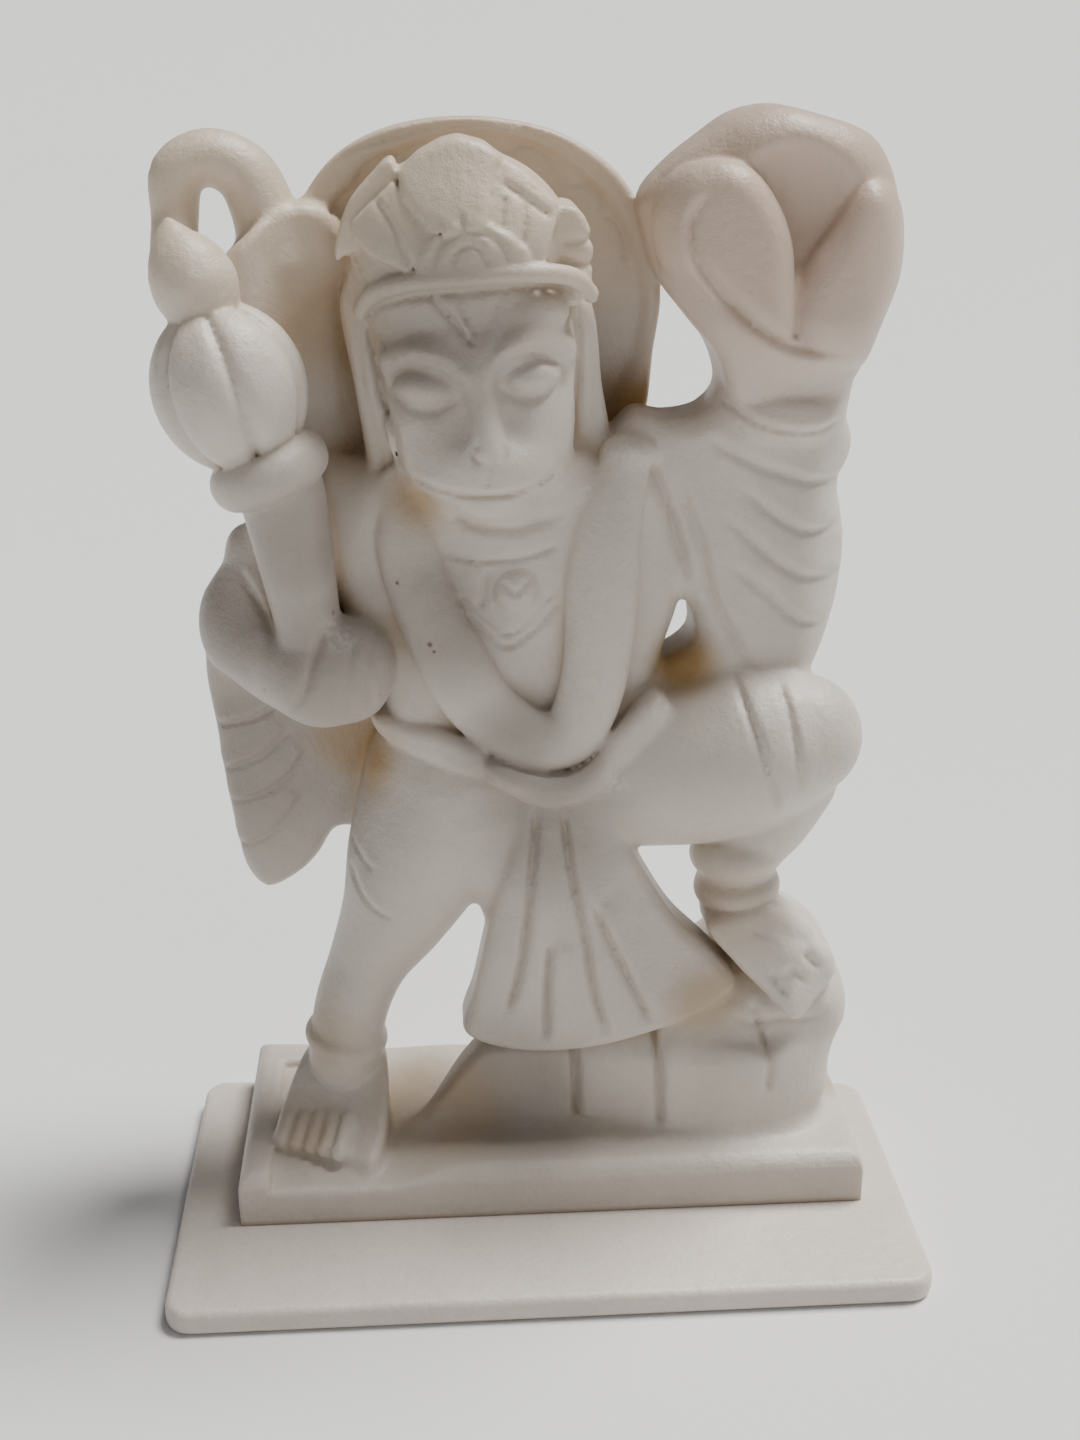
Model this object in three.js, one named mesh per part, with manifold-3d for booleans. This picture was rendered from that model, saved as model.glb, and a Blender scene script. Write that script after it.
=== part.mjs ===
// A small marble figure of the monkey god on an out-of-square slab: millimetres, +Z up, front towards -Y.
import * as THREE from 'three';
import { mergeVertices } from 'three/addons/utils/BufferGeometryUtils.js';
import Module from 'manifold-3d';

// Slab: front edge square, rear edge running forward to the right
const plinthWidth = 134.4;
const plinthDepthLeft = 70;
const plinthDepthRight = 61;
const plinthThickness = 5;
const plinthCorner = 4.6;
const plinthSharpCorner = 2.4;
const plinthEdge = 1.5;

// Block that the figure stands on, carved in one with it
const blockWidth = 114.8;
const blockHeight = 10.5;
const blockEdge = 2.2;
const blockCorner = 3.2;
const blockFromLeft = 11.2;
const blockFromFront = 22.5;
const blockFromRear = 0.5;
const pocketDepth = 1.6;
const pocketBorder = 5;

// Figure, drawn at drawnHeight and carved at figureHeight above the block
const figureHeight = 181;
const figureAxis = 23.5;
const drawnHeight = 181;
const sunkInBlock = 3;

// Fineness of the carving
const clayCell = 1.2;
const carvedTriangles = 9200;

const marble = { color: 0xd9d2c6, roughness: 0.42, metalness: 0 };
const paleMarble = { color: 0xddd3cb, roughness: 0.45, metalness: 0 };

const share = figureHeight / drawnHeight;
const FAR = 1e3;

// Small mathematics

function clamp(value, low, high) {
  return Math.min(Math.max(value, low), high);
}

function ramp(from, to, value) {
  const t = clamp((value - from) / (to - from), 0, 1);
  return t * t * (3 - 2 * t);
}

function mix(a, b, t) {
  return a.map((value, n) => value * (1 - t) + b[n] * t);
}

function softMin(a, b, blend) {
  const overlap = Math.max(blend - Math.abs(a - b), 0);
  return Math.min(a, b) - (blend > 0 ? overlap * overlap / (4 * blend) : 0);
}

// Turns a point into the axes of a form that is turned by these degrees about x, y and z
function intoTurned(turn) {
  const euler = new THREE.Euler(...turn.map((angle) => THREE.MathUtils.degToRad(angle)), 'XYZ');
  const e = new THREE.Matrix4().makeRotationFromEuler(euler).elements;
  return (x, y, z) => [
    e[0] * x + e[1] * y + e[2] * z,
    e[4] * x + e[5] * y + e[6] * z,
    e[8] * x + e[9] * y + e[10] * z,
  ];
}

// Clay: a grid of distances to the surface, less than nought inside

class Clay {
  constructor(low, high, cell) {
    this.low = low;
    this.cell = cell;
    this.counts = low.map((value, axis) => Math.ceil((high[axis] - value) / cell) + 1);
    this.field = new Float32Array(this.counts[0] * this.counts[1] * this.counts[2]).fill(FAR);
  }

  visit([lowest, highest], reach, work) {
    const { low, cell, counts } = this;
    const from = lowest.map((value, axis) => Math.max(Math.ceil((value - reach - low[axis]) / cell), 0));
    const to = highest.map((value, axis) =>
      Math.min(Math.floor((value + reach - low[axis]) / cell), counts[axis] - 1));
    for (let k = from[2]; k <= to[2]; k += 1) {
      for (let j = from[1]; j <= to[1]; j += 1) {
        const row = (k * counts[1] + j) * counts[0];
        for (let i = from[0]; i <= to[0]; i += 1) {
          work(row + i, low[0] + i * cell, low[1] + j * cell, low[2] + k * cell);
        }
      }
    }
  }

  add(form, blend = 0) {
    this.visit(form.reach, blend + 4 * this.cell, (index, x, y, z) => {
      this.field[index] = softMin(this.field[index], form.distance(x, y, z), blend);
    });
  }

  cut(form, blend = 0) {
    this.visit(form.reach, blend + 4 * this.cell, (index, x, y, z) => {
      this.field[index] = -softMin(-this.field[index], form.distance(x, y, z), blend);
    });
  }

  shift(region, amount) {
    this.visit(region, 0, (index, x, y, z) => {
      this.field[index] += amount(x, y, z);
    });
  }

  // Takes away all that lies below this height
  level(height) {
    this.visit([this.low, [FAR, FAR, height + 2 * this.cell]], 0, (index, x, y, z) => {
      this.field[index] = Math.max(this.field[index], height - z);
    });
  }
}

// Forms

function reachAround(points, margins) {
  const low = [FAR, FAR, FAR];
  const high = [-FAR, -FAR, -FAR];
  points.forEach((point, n) => {
    for (let axis = 0; axis < 3; axis += 1) {
      low[axis] = Math.min(low[axis], point[axis] - margins[n]);
      high[axis] = Math.max(high[axis], point[axis] + margins[n]);
    }
  });
  return [low, high];
}

function blob(centre, radii, turn = [0, 0, 0]) {
  const inward = intoTurned(turn);
  return {
    reach: reachAround([centre], [Math.max(...radii)]),
    distance(x, y, z) {
      const p = inward(x - centre[0], y - centre[1], z - centre[2]);
      const near = Math.hypot(p[0] / radii[0], p[1] / radii[1], p[2] / radii[2]);
      const slope = Math.hypot(p[0] / radii[0] ** 2, p[1] / radii[1] ** 2, p[2] / radii[2] ** 2);
      return slope > 1e-9 ? near * (near - 1) / slope : -Math.min(...radii);
    },
  };
}

function melon(centre, radii, turn, ribs, groove, start) {
  const inward = intoTurned(turn);
  const plain = blob(centre, radii, turn);
  return {
    reach: plain.reach,
    distance(x, y, z) {
      const p = inward(x - centre[0], y - centre[1], z - centre[2]);
      const round = Math.atan2(p[0], -p[1]) * ribs / 2 + start;
      const crease = (1 - Math.abs(Math.sin(round))) ** 3;
      const awayFromPole = ramp(0.1, 0.6, Math.hypot(p[0], p[1]) / radii[0]);
      return plain.distance(x, y, z) + groove * crease * awayFromPole;
    },
  };
}

function ring(centre, radius, thick, turn, tall = 1) {
  const inward = intoTurned(turn);
  return {
    reach: reachAround([centre], [radius + thick * tall]),
    distance(x, y, z) {
      const p = inward(x - centre[0], y - centre[1], z - centre[2]);
      return Math.hypot(Math.hypot(p[0], p[1]) - radius, p[2] / tall) - thick;
    },
  };
}

// Points along a smooth curve through the given ones; a fourth number in a point is a radius
function smoothPath(points, closed, spacing) {
  if (points.length < 3) return points;
  const corners = points.map((p) => new THREE.Vector3(p[0], p[1], p[2] ?? 0));
  const curve = new THREE.CatmullRomCurve3(corners, closed, 'centripetal');
  const spans = closed ? points.length : points.length - 1;
  const steps = Math.max(Math.ceil(curve.getLength() / spacing), spans * 2);
  const path = [];
  for (let n = 0; n < steps + (closed ? 0 : 1); n += 1) {
    const p = curve.getPoint(n / steps);
    const place = n / steps * spans;
    const from = points[Math.floor(place) % points.length];
    const to = points[Math.min(Math.floor(place) + 1, points.length - 1)];
    path.push([p.x, p.y, p.z, THREE.MathUtils.lerp(from[3] ?? 0, to[3] ?? 0, place % 1)]);
  }
  return path;
}

// A round limb through points [x, y, z, radius]; depth is its thickness against its width
function limb(points, { depth = 1, spacing = 3 } = {}) {
  const path = smoothPath(points, false, spacing);
  return {
    reach: reachAround(path, path.map((p) => p[3])),
    distance(x, y, z) {
      let best = FAR;
      for (let n = 0; n < path.length - 1; n += 1) {
        const a = path[n];
        const b = path[n + 1];
        const along = [b[0] - a[0], (b[1] - a[1]) / depth, b[2] - a[2]];
        const away = [x - a[0], (y - a[1]) / depth, z - a[2]];
        const reached = away[0] * along[0] + away[1] * along[1] + away[2] * along[2];
        const length2 = along[0] ** 2 + along[1] ** 2 + along[2] ** 2 + 1e-9;
        const t = clamp(reached / length2, 0, 1);
        const gap = Math.hypot(away[0] - along[0] * t, away[1] - along[1] * t, away[2] - along[2] * t);
        best = Math.min(best, gap - a[3] - (b[3] - a[3]) * t);
      }
      return best * Math.min(depth, 1);
    },
  };
}

function outlineDistance(outline, u, v) {
  let best = FAR * FAR;
  let inside = false;
  outline.forEach(([au, av], n) => {
    const [bu, bv] = outline[(n + 1) % outline.length];
    const eu = bu - au;
    const ev = bv - av;
    const t = clamp(((u - au) * eu + (v - av) * ev) / (eu * eu + ev * ev + 1e-12), 0, 1);
    best = Math.min(best, (u - au - eu * t) ** 2 + (v - av - ev * t) ** 2);
    if ((av > v) !== (bv > v) && u < au + (v - av) / (bv - av) * eu) inside = !inside;
  });
  return inside ? -Math.sqrt(best) : Math.sqrt(best);
}

// A sheet of stone: an outline seen from the front (or from above, upright) between two faces
function sheet(points, nearFace, farFace, { round = 1, upright = false, sharp = false } = {}) {
  const outline = sharp ? points : smoothPath(points, true, 2);
  const near = typeof nearFace === 'function' ? nearFace : () => nearFace;
  const far = typeof farFace === 'function' ? farFace : () => farFace;
  const place = (u, v, w) => (upright ? [u, v, w] : [u, w, v]);
  const faces = outline.flatMap(([u, v]) => [place(u, v, near(u, v)), place(u, v, far(u, v))]);
  return {
    reach: reachAround(faces, faces.map(() => 3)),
    distance(x, y, z) {
      const [u, v, w] = place(x, y, z);
      const rim = outlineDistance(outline, u, v) + round;
      const wall = Math.max(near(u, v) - w, w - far(u, v)) + round;
      return Math.hypot(Math.max(rim, 0), Math.max(wall, 0)) + Math.min(Math.max(rim, wall), 0) - round;
    },
  };
}

// A chisel line drawn on the front, cut in or, with a lap, left as the edge of a fold on its left side
function stroke(clay, points, { width, depth, back = 0, lap = 0, taper = 0.15 }) {
  const path = smoothPath(points, false, 1.5);
  const reach = Math.max(width, lap);
  const xs = path.map((p) => p[0]);
  const zs = path.map((p) => p[1]);
  const low = [Math.min(...xs) - reach, -FAR, Math.min(...zs) - reach];
  const high = [Math.max(...xs) + reach, back, Math.max(...zs) + reach];
  clay.shift([low, high], (x, y, z) => {
    let best = FAR * FAR;
    let side = 0;
    let along = 0;
    for (let n = 0; n < path.length - 1; n += 1) {
      const eu = path[n + 1][0] - path[n][0];
      const ev = path[n + 1][1] - path[n][1];
      const du = x - path[n][0];
      const dv = z - path[n][1];
      const t = clamp((du * eu + dv * ev) / (eu * eu + ev * ev + 1e-12), 0, 1);
      const gap = (du - eu * t) ** 2 + (dv - ev * t) ** 2;
      if (gap < best) {
        best = gap;
        side = eu * dv - ev * du;
        along = (n + t) / (path.length - 1);
      }
    }
    const away = Math.sqrt(best);
    if (away > reach) return 0;
    const ends = taper > 0 ? Math.min(1, along / taper, (1 - along) / taper) : 1;
    const fade = clamp((back - y) / 2, 0, 1);
    const cutIn = Math.exp(-2.2 * (2 * away / width) ** 2);
    const leftProud = side > 0 ? 0.8 * (1 - ramp(0, lap, away)) * ramp(0, width, away) : 0;
    return depth * ends * fade * (cutIn - (lap > 0 ? leftProud : 0));
  });
}

// Carving of the figure: x from the middle, y from the axis, z from the top of the block

function carveRock(clay) {
  clay.add(sheet([[-25, -7], [-16, -9.5], [-6, -10], [8, -11.5], [22, -15.2], [36, -17.4], [49, -14],
    [54.6, -4], [54.8, 6], [50, 12], [30, 15], [4, 14], [-7, 8], [-10, -1], [-17, -2]],
  -6, (x) => 18 * ramp(-26, -8, x), { round: 3, upright: true }), 3);
  clay.add(blob([22, 0, 13], [26, 14, 15]), 4);
  clay.add(sheet([[47, 40], [51, 37], [54.2, 32.6], [56.8, 26], [57, 20], [55, 15], [54, 11], [54, 5],
    [30, 2], [20, 10], [22, 24], [29, 31], [36, 38], [41, 41]],
  (x, z) => -13 + 9 * ramp(24, 40, z), (x, z) => 14 - 5 * ramp(20, 42, z), { round: 6 }), 4);
  clay.cut(blob([61, -5, 7.5], [5, 12, 4.5]), 3);
  for (const groove of [[[5.6, 21], [6.1, 8.4], [6.3, 2]], [[20.2, 27], [21.2, 11.7], [21.7, 2]]]) {
    stroke(clay, groove, { width: 2.8, depth: 0.9, back: -6, lap: 6, taper: 0.04 });
  }
  stroke(clay, [[38, 27], [40.4, 20.3], [41.7, 14], [41.2, 9]], { width: 3, depth: 0.8, back: -6, taper: 0.1 });
}

// Toes in a row between the lines of their roots and of their tips, from the first given radius to the last
function carveToes(clay, [rootFrom, rootTo], [tipFrom, tipTo], [radiusFrom, radiusTo]) {
  for (let toe = 0; toe < 5; toe += 1) {
    const place = toe / 4;
    const radius = radiusFrom + (radiusTo - radiusFrom) * ramp(0.5, 1, place);
    clay.add(limb([[...mix(rootFrom, rootTo, place), radius], [...mix(tipFrom, tipTo, place), radius]]), 0.4);
  }
}

function carveRightLeg(clay) {
  clay.add(limb([[-17, 2, 66, 14.2], [-21, 0, 55, 13.4], [-25.8, -1, 43, 10.2], [-31.4, -1, 32, 7.5],
    [-35, -2, 23, 6.9], [-36.8, -2.5, 13, 6.8]], { depth: 1.05, spacing: 1.5 }), 4);
  clay.add(limb([[-9.6, -4, 62, 8], [-7.4, -6, 45, 3.4]]), 3);
  clay.add(sheet([[-50, -12.6], [-43, -15.4], [-36, -18.4], [-31.4, -20], [-29, -12], [-28.8, -4],
    [-31, 5], [-41, 5], [-46.5, -3]],
  -6, (x, y) => 1 + 11.2 * ramp(-17, 1, y + 0.25 * (x + 40)), { round: 1.8, upright: true }), 1.6);
  const roots = [[-47, -8.6, 3], [-36.4, -11.6, 3.2]];
  const tips = [[-48.4, -13, 0.8], [-37.4, -17.6, 1.2]];
  carveToes(clay, roots, tips, [1.7, 2.1]);
  clay.add(ring([-36.4, -2.4, 16.4], 6.6, 1.4, [4, 10, 0], 1.2), 1);
}

function carveTorso(clay) {
  clay.add(blob([-2, 3, 68], [26, 13, 14]), 5);
  clay.add(sheet([[-28, 70], [-26.5, 80], [-28, 90], [-34.5, 100], [-37.5, 112], [-30, 122.5], [-10, 127],
    [12, 126], [20.5, 123], [22.6, 114.5], [24.2, 101.6], [21.7, 92.8], [20, 85], [20, 70]],
  (x) => -9.4 + 0.005 * (x + 4) ** 2, 15.5, { round: 5 }), 4);
  clay.add(limb([[-35, 4, 113, 9], [-12, 5, 118, 11], [12, 4, 117, 9]], { depth: 0.9 }), 5);
  clay.add(limb([[-8, 0, 122, 10], [-7, 2, 113, 11]]), 3);
}

function carveLeftLeg(clay) {
  clay.add(limb([[44.5, -5, 68, 8.5], [41.5, -4.5, 61, 7.8], [36.4, -4.5, 54, 7.4], [36, -4.5, 43, 6.6]]), 3);
  clay.add(limb([[2, 3, 67, 14], [16, -1, 69.4, 14.6], [30, -4, 72, 15.2], [40, -6, 75.5, 13.8],
    [45.2, -7, 77, 11.2]], { depth: 0.92, spacing: 1.5 }), 1);
  clay.add(ring([35.6, -5, 54], 5.2, 3.3, [0, -6, 0], 1.05), 0.8);
  clay.add(ring([36, -5, 47], 5, 2.9, [0, -6, 0], 1.05), 0.8);
  stroke(clay, [[33, 90], [34.6, 84.5], [38, 75], [40.3, 66]], { width: 3, depth: 0.8, back: 2, lap: 6 });
  stroke(clay, [[40.5, 89], [42, 82], [44.4, 70]], { width: 3, depth: 0.6, back: 2, lap: 5 });
}

function carveLeftFoot(clay) {
  clay.add(limb([[35.6, -5, 46, 6.2], [39.2, -8.6, 41, 6], [43.8, -11.6, 36.5, 5]], { depth: 0.9 }), 0.8);
  clay.add(sheet([[29.5, 43], [34.3, 36], [40, 30], [46.2, 24], [50.2, 27], [54.2, 31.4], [53.4, 35],
    [48.7, 41], [42, 46], [36, 46]],
  (x, z) => -16.6 + 0.42 * Math.max(x - 45, 0) + 0.17 * (z - 27), -4, { round: 2 }), 0.3);
  for (const slit of [[[40.8, 34.6], [44.2, 29]], [[43.8, 36.4], [47.8, 31]], [[46.4, 38], [50.8, 33]]]) {
    stroke(clay, slit, { width: 2.6, depth: 0.9, back: -4, taper: 0.25 });
  }
}

function carveCape(clay) {
  clay.add(sheet([[-57.8, 92], [-57.2, 75], [-55.5, 55], [-53.8, 46], [-50.5, 42.3], [-44.5, 45],
    [-40.6, 49], [-37, 54.5], [-31, 55], [-26, 62], [-26, 100], [-48, 106]],
  (x, z) => 4 + 3 * ramp(80, 45, z), 16, { round: 2.5 }), 2);
  const folds = [
    [[-57, 77], [-51.3, 78], [-46.3, 80.5]],
    [[-56.4, 67.8], [-49.3, 70.9], [-44.2, 76.1]],
    [[-56, 61], [-49.9, 62.8], [-44.7, 66.8], [-41, 72]],
    [[-55, 51.6], [-48.7, 54.5], [-42.5, 62.2]],
  ];
  for (const fold of folds) stroke(clay, fold, { width: 2.8, depth: 0.6, back: 12, lap: 6, taper: 0.06 });
}

function carveHalo(clay) {
  clay.add(sheet([[-50.5, 157.5], [-47, 161], [-41, 165.4], [-34, 165], [-26, 150], [-22, 126],
    [-30, 110], [-40, 112], [-44, 130], [-52, 144]],
  (x) => 6 - 6 * ramp(-38, -48, x) + 3 * ramp(-40, -26, x), 16, { round: 2 }), 3);
  const dish = (x, z) => 12 + 1.4 * ramp(0.95, 0.84, Math.hypot(x + 9.7, z - 148) / 31);
  clay.add(sheet([[-40.8, 150], [-39.4, 162.6], [-33.4, 171.8], [-24.2, 176.9], [-9.7, 178.7],
    [4.7, 176], [14.2, 169.8], [19.1, 161.5], [21.6, 151], [20.6, 141], [18.4, 127], [8, 116],
    [-24, 116], [-34, 124], [-39, 136]], dish, 18.5, { round: 1.4 }), 1.5);
}

function carveTail(clay) {
  clay.add(limb([[-58.2, 5, 157, 3.9], [-58.1, 9, 163.5, 3.8], [-57.2, 10, 170.4, 4.4],
    [-52.3, 10.5, 172.8, 4.5], [-46.9, 11, 170.4, 4.9], [-44, 11, 164.5, 5.3], [-42.5, 11, 157, 6]],
  { depth: 1.15 }), 1);
  clay.add(limb([[-42.5, 12, 156, 5], [-38.5, 14, 142, 4.4], [-35, 15.4, 122, 4], [-31, 16, 98, 4],
    [-20, 16, 78, 4], [-5, 14, 67, 4.4]]), 2);
}

function carveArmWithMountain(clay) {
  clay.add(sheet([[31, 132], [30, 138], [28.2, 143.6], [24, 148.8], [20, 154], [17.6, 160.5],
    [16.6, 167], [20.5, 172], [26, 176.3], [31, 179.6], [37.4, 180.9], [43, 179.8], [52, 176.6],
    [55.6, 172.3], [58.2, 165], [58.6, 158], [56.2, 149], [53.6, 141.5], [50.6, 132]],
  (x, z) => -11 + 0.014 * (x - 38) ** 2 + 5 * ramp(152, 132, z),
  (x, z) => 15 - 4 * ramp(150, 132, z), { round: 6.5 }), 2);
  clay.cut(blob([39.5, -17, 165.6], [13.4, 10.4, 13.6], [0, 8, 0]), 1.5);
  clay.add(sheet([[19, 158], [17.4, 163.5], [18.4, 168.6], [21, 171.8], [24.6, 173.4], [28.4, 173.6],
    [31.8, 172.4], [35, 169.2], [37.5, 165], [39, 160.6], [39.5, 156], [39.4, 146.6], [33, 147.6],
    [27.6, 151.6], [22, 156]],
  (x) => -15 + 0.016 * (x - 33) ** 2, 0, { round: 5 }), 0.6);
  clay.add(sheet([[49.4, 169.8], [44.7, 162.6], [41.2, 157.5], [39.6, 150], [41, 142.6], [47.4, 141],
    [52.5, 141], [55.4, 148.6], [58.2, 155], [58.6, 160.5], [57.4, 166], [55, 169.4], [52, 170.6]],
  (x, z) => -13 + 0.05 * Math.max(x - 47, 0) ** 2 + 3 * ramp(150, 140, z), 0, { round: 5 }), 0.8);
  clay.add(sheet([[19, 157], [23.4, 160.4], [27.9, 154.8], [32.9, 151], [37.6, 147.8], [42.3, 146],
    [47.4, 145], [53.4, 144.6], [51.6, 137.6], [40, 135], [31, 136.4], [30, 138.5], [28.2, 143.6],
    [24, 148.8], [20, 154]],
  (x, z) => -13.6 + 0.022 * (x - 36) ** 2 + 5.4 * ramp(150, 135, z), 2, { round: 2.2 }), 0.5);
  stroke(clay, [[27.4, 171], [24, 168], [22.8, 163.6], [23.6, 159.6]], { width: 4.6, depth: 1.8, taper: 0.4 });
}

function carveShawl(clay) {
  clay.add(sheet([[8, 124], [12, 129], [16.5, 133], [21, 132.2], [27, 133.3], [31.5, 137], [48, 135.5],
    [52.6, 130], [53.2, 126], [51, 120.5], [52.8, 112], [52, 99], [46.8, 86.5], [38, 81], [20, 80],
    [12, 86], [20.4, 89.2], [24, 90.8], [26.8, 93.5], [26.6, 98], [25.2, 100.8], [20, 103], [8, 104]],
  (x) => -4.5 - 2 * ramp(20, 36, x) + 5 * ramp(44, 54, x), 11, { round: 4 }), 2);
  clay.add(ring([40.3, 1.6, 133.2], 9.2, 1.9, [6, 7, 0]), 1.2);
  const folds = [
    [[26.5, 130.4], [33.9, 126], [39.6, 123.8], [44.5, 122.3], [53, 122]],
    [[33, 122], [35.6, 119.6], [40, 116], [45.1, 113.7], [53, 114.2]],
    [[30.1, 117.6], [36, 111.7], [41.9, 107.2], [45.6, 105.7], [53, 104.6]],
    [[32, 108.6], [38.8, 102.5], [43.3, 98.7], [50.5, 96]],
    [[21.6, 125.5], [24.6, 118], [26.9, 112.3], [28.7, 104.2], [34.1, 93.6], [38, 88.6]],
  ];
  for (const fold of folds) stroke(clay, fold, { width: 3, depth: 0.6, back: 6, lap: 7, taper: 0.25 });
}

function carveArmWithMace(clay) {
  clay.add(limb([[-37, 4, 116, 9.5], [-43.5, 5, 107, 8.6], [-48.9, 4, 98, 9.4]], { depth: 0.9 }), 4);
  clay.add(limb([[-48.9, 3, 95, 9.2], [-43, -3, 92, 8.6], [-38, -7, 91, 8.6]]), 2);
  clay.add(blob([-50, 6, 109], [3.4, 5, 4.2]), 1.6);
  clay.add(limb([[-38.3, -8.5, 96, 5.2], [-40, -8, 108, 6], [-42, -7.5, 122, 7]]), 0.6);
  clay.add(ring([-43.9, -7.5, 126], 6.8, 3.2, [0, -22, 0], 1.2), 0.4);
  clay.add(melon([-49.4, -7, 139.3], [12.3, 12, 13.6], [0, -16, 0], 6, 1.4, -0.7), 0.3);
  clay.add(limb([[-52.4, -6.5, 151, 4.6], [-53.8, -5.5, 155, 6.8], [-56.2, -5, 160, 4],
    [-57.3, -4.5, 164.2, 1]]), 0.5);
  clay.add(blob([-36.4, -7.6, 91.2], [9.4, 7.4, 9.6]), 2);
  clay.add(blob([-31.5, -8, 91.8], [6.6, 6.4, 9]), 2);
  stroke(clay, [[-35.4, 102], [-37.4, 97], [-39.7, 90.4], [-42, 86]], { width: 3, depth: 0.8, back: -6 });
}

function carveHead(clay) {
  clay.add(blob([-9.8, -1, 140.5], [16.2, 12.6, 21.5], [0, -4, 0]), 3);
  clay.add(blob([-17.4, -6.2, 131.6], [7.4, 6.6, 8]), 3);
  clay.add(blob([-1.4, -6.2, 132.6], [7.4, 6.6, 8]), 3);
  clay.add(blob([-9.2, -8, 127.4], [12.2, 8.6, 7]), 2.5);
  clay.add(blob([-9, -6.2, 121.4], [9, 7.4, 4.4]), 1.4);
  clay.add(limb([[-24.6, -7, 143, 1.4], [-19, -11.4, 145, 1.8], [-12.6, -12.6, 141.6, 1.4]]), 2.5);
  clay.add(limb([[-7.6, -12.8, 142.4, 1.4], [-2, -11.8, 147.4, 2.2], [4.2, -7.4, 145, 1.6]]), 2.5);
  for (const [x, z, tilt, side] of [[-18.2, 139.4, 6, -1], [-2.2, 141.2, -6, 1]]) {
    clay.cut(blob([x - 0.6 * side, -16.9, z - 0.6], [6.8, 6.2, 4.6], [0, tilt, 0]), 1.6);
    clay.add(blob([x, -8.8, z], [5.5, 4.6, 3.1], [0, tilt, 0]), 0.2);
  }
  clay.cut(blob([-13.9, -17.4, 135], [2.6, 4.6, 5], [0, 10, 0]), 2);
  clay.cut(blob([-4.3, -17.4, 135.8], [2.6, 4.4, 5], [0, -10, 0]), 2);
  clay.add(limb([[-10, -11.6, 146, 2], [-9.5, -12.8, 138, 2.1], [-8.9, -14.4, 132, 2.5]]), 1.4);
  clay.add(blob([-8.8, -14.8, 130.4], [3.6, 2.3, 2]), 0.8);
  stroke(clay, [[-19, 125.4], [-14.6, 123.9], [-9.3, 123.4], [-3.8, 124.1], [1.8, 126.6]],
    { width: 2.8, depth: 1, back: -4, lap: 3 });
  clay.add(sheet([[-31.5, 153], [-28, 157], [-23, 152], [-22, 134], [-20, 120], [-28, 117],
    [-28.5, 126], [-30, 138]], -3, 10, { round: 3 }), 1);
  clay.add(sheet([[3, 154], [8, 152], [10.5, 138], [11.6, 126], [6, 124], [3, 136]], -2, 10,
    { round: 2.5 }), 1);
}

function carveCrown(clay) {
  clay.add(blob([-12, -0.5, 157.5], [18.2, 12.8, 17.5]), 1);
  const leafFace = (proud) => (x, z) => -13.4 - proud + 0.018 * (x + 11) ** 2 + 7 * ramp(160, 180, z);
  const leaf = (outline, proud, round) => {
    clay.add(sheet(outline, leafFace(proud), 2, { round, sharp: true }), 0.2);
  };
  leaf([[-29.4, 164.2], [-26.6, 166.9], [-22.5, 170.4], [-21.2, 168.8], [-16.4, 163.6], [-20.6, 157.3],
    [-28.9, 162]], 1.3, 0.5);
  leaf([[-6.4, 174.2], [-2.4, 171.8], [2.6, 167.3], [0.3, 158.4], [-4, 158.8], [-8.8, 163.9]], 0.9, 0.5);
  leaf([[-21.9, 171.6], [-18.8, 174.5], [-15.2, 176.4], [-12.6, 177], [-8.6, 176], [-6.2, 174.2],
    [-8.8, 163.5], [-12.4, 162], [-16.4, 163], [-21.4, 168.4]], 2.2, 1.2);
  leaf([[-19.6, 157], [-18.8, 160.4], [-16.8, 163], [-13.4, 164.8], [-9.6, 165.2], [-5.8, 163.6],
    [-2.4, 161], [-1.6, 157]], 1.8, 0.8);
  clay.add(sheet([[-31.8, 158.5], [-30.2, 166], [-26, 171], [-23, 173.6], [-22, 171.2], [-27, 161]],
    -6, 6, { round: 0.8 }), 0.4);
  clay.add(sheet([[2.4, 166.5], [5.5, 166.5], [7.6, 163.5], [8.2, 160], [8, 156], [6.5, 151.5], [2, 153]],
    -8, 6, { round: 1.2 }), 0.4);
  clay.add(limb([[-28, -4, 150.6, 1.6], [-25.8, -8.2, 153.9, 1.6], [-20, -12.4, 156.1, 1.6],
    [-12, -13.9, 156.9, 1.6], [-3, -13.4, 157.4, 1.6], [4.5, -9.8, 156.3, 1.6], [7.8, -5, 153, 1.6]]), 0.2);
  stroke(clay, [[-17.8, 154.6], [-14.9, 151.5], [-10.7, 146.6], [-7.7, 151.4], [-5.8, 154.6]],
    { width: 2.6, depth: 0.7, back: -6, taper: 0.05 });
}

function carveBelt(clay) {
  clay.add(sheet([[-29.4, 82], [-22.8, 81.6], [-14.9, 80.3], [-10.4, 78.7], [-9, 76.4], [-9.6, 73],
    [-17.7, 74.4], [-24.6, 76.4], [-28.4, 78.8]],
  (x) => -13.4 + 9 * ramp(-10, -36, x), 2, { round: 2.2 }), 0.4);
  clay.add(sheet([[-10.4, 76.6], [-6.5, 76], [-2.2, 74.4], [4.2, 73.6], [8.5, 75.6], [10.8, 78.6],
    [13.4, 75.6], [12.3, 72.4], [9.6, 69.5], [4.2, 67.8], [-1.7, 68], [-6.5, 70.6], [-10.2, 73]],
  (x) => -16.2 + 0.012 * (x - 2) ** 2, -4, { round: 2.6 }), 0.4);
  clay.add(sheet([[10, 77], [14.5, 83], [19.6, 87], [22.4, 84.2], [20.6, 80.2], [13.4, 74]],
    (x) => -14.4 + 0.12 * (x - 10), -3, { round: 2.2 }), 0.5);
}

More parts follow.
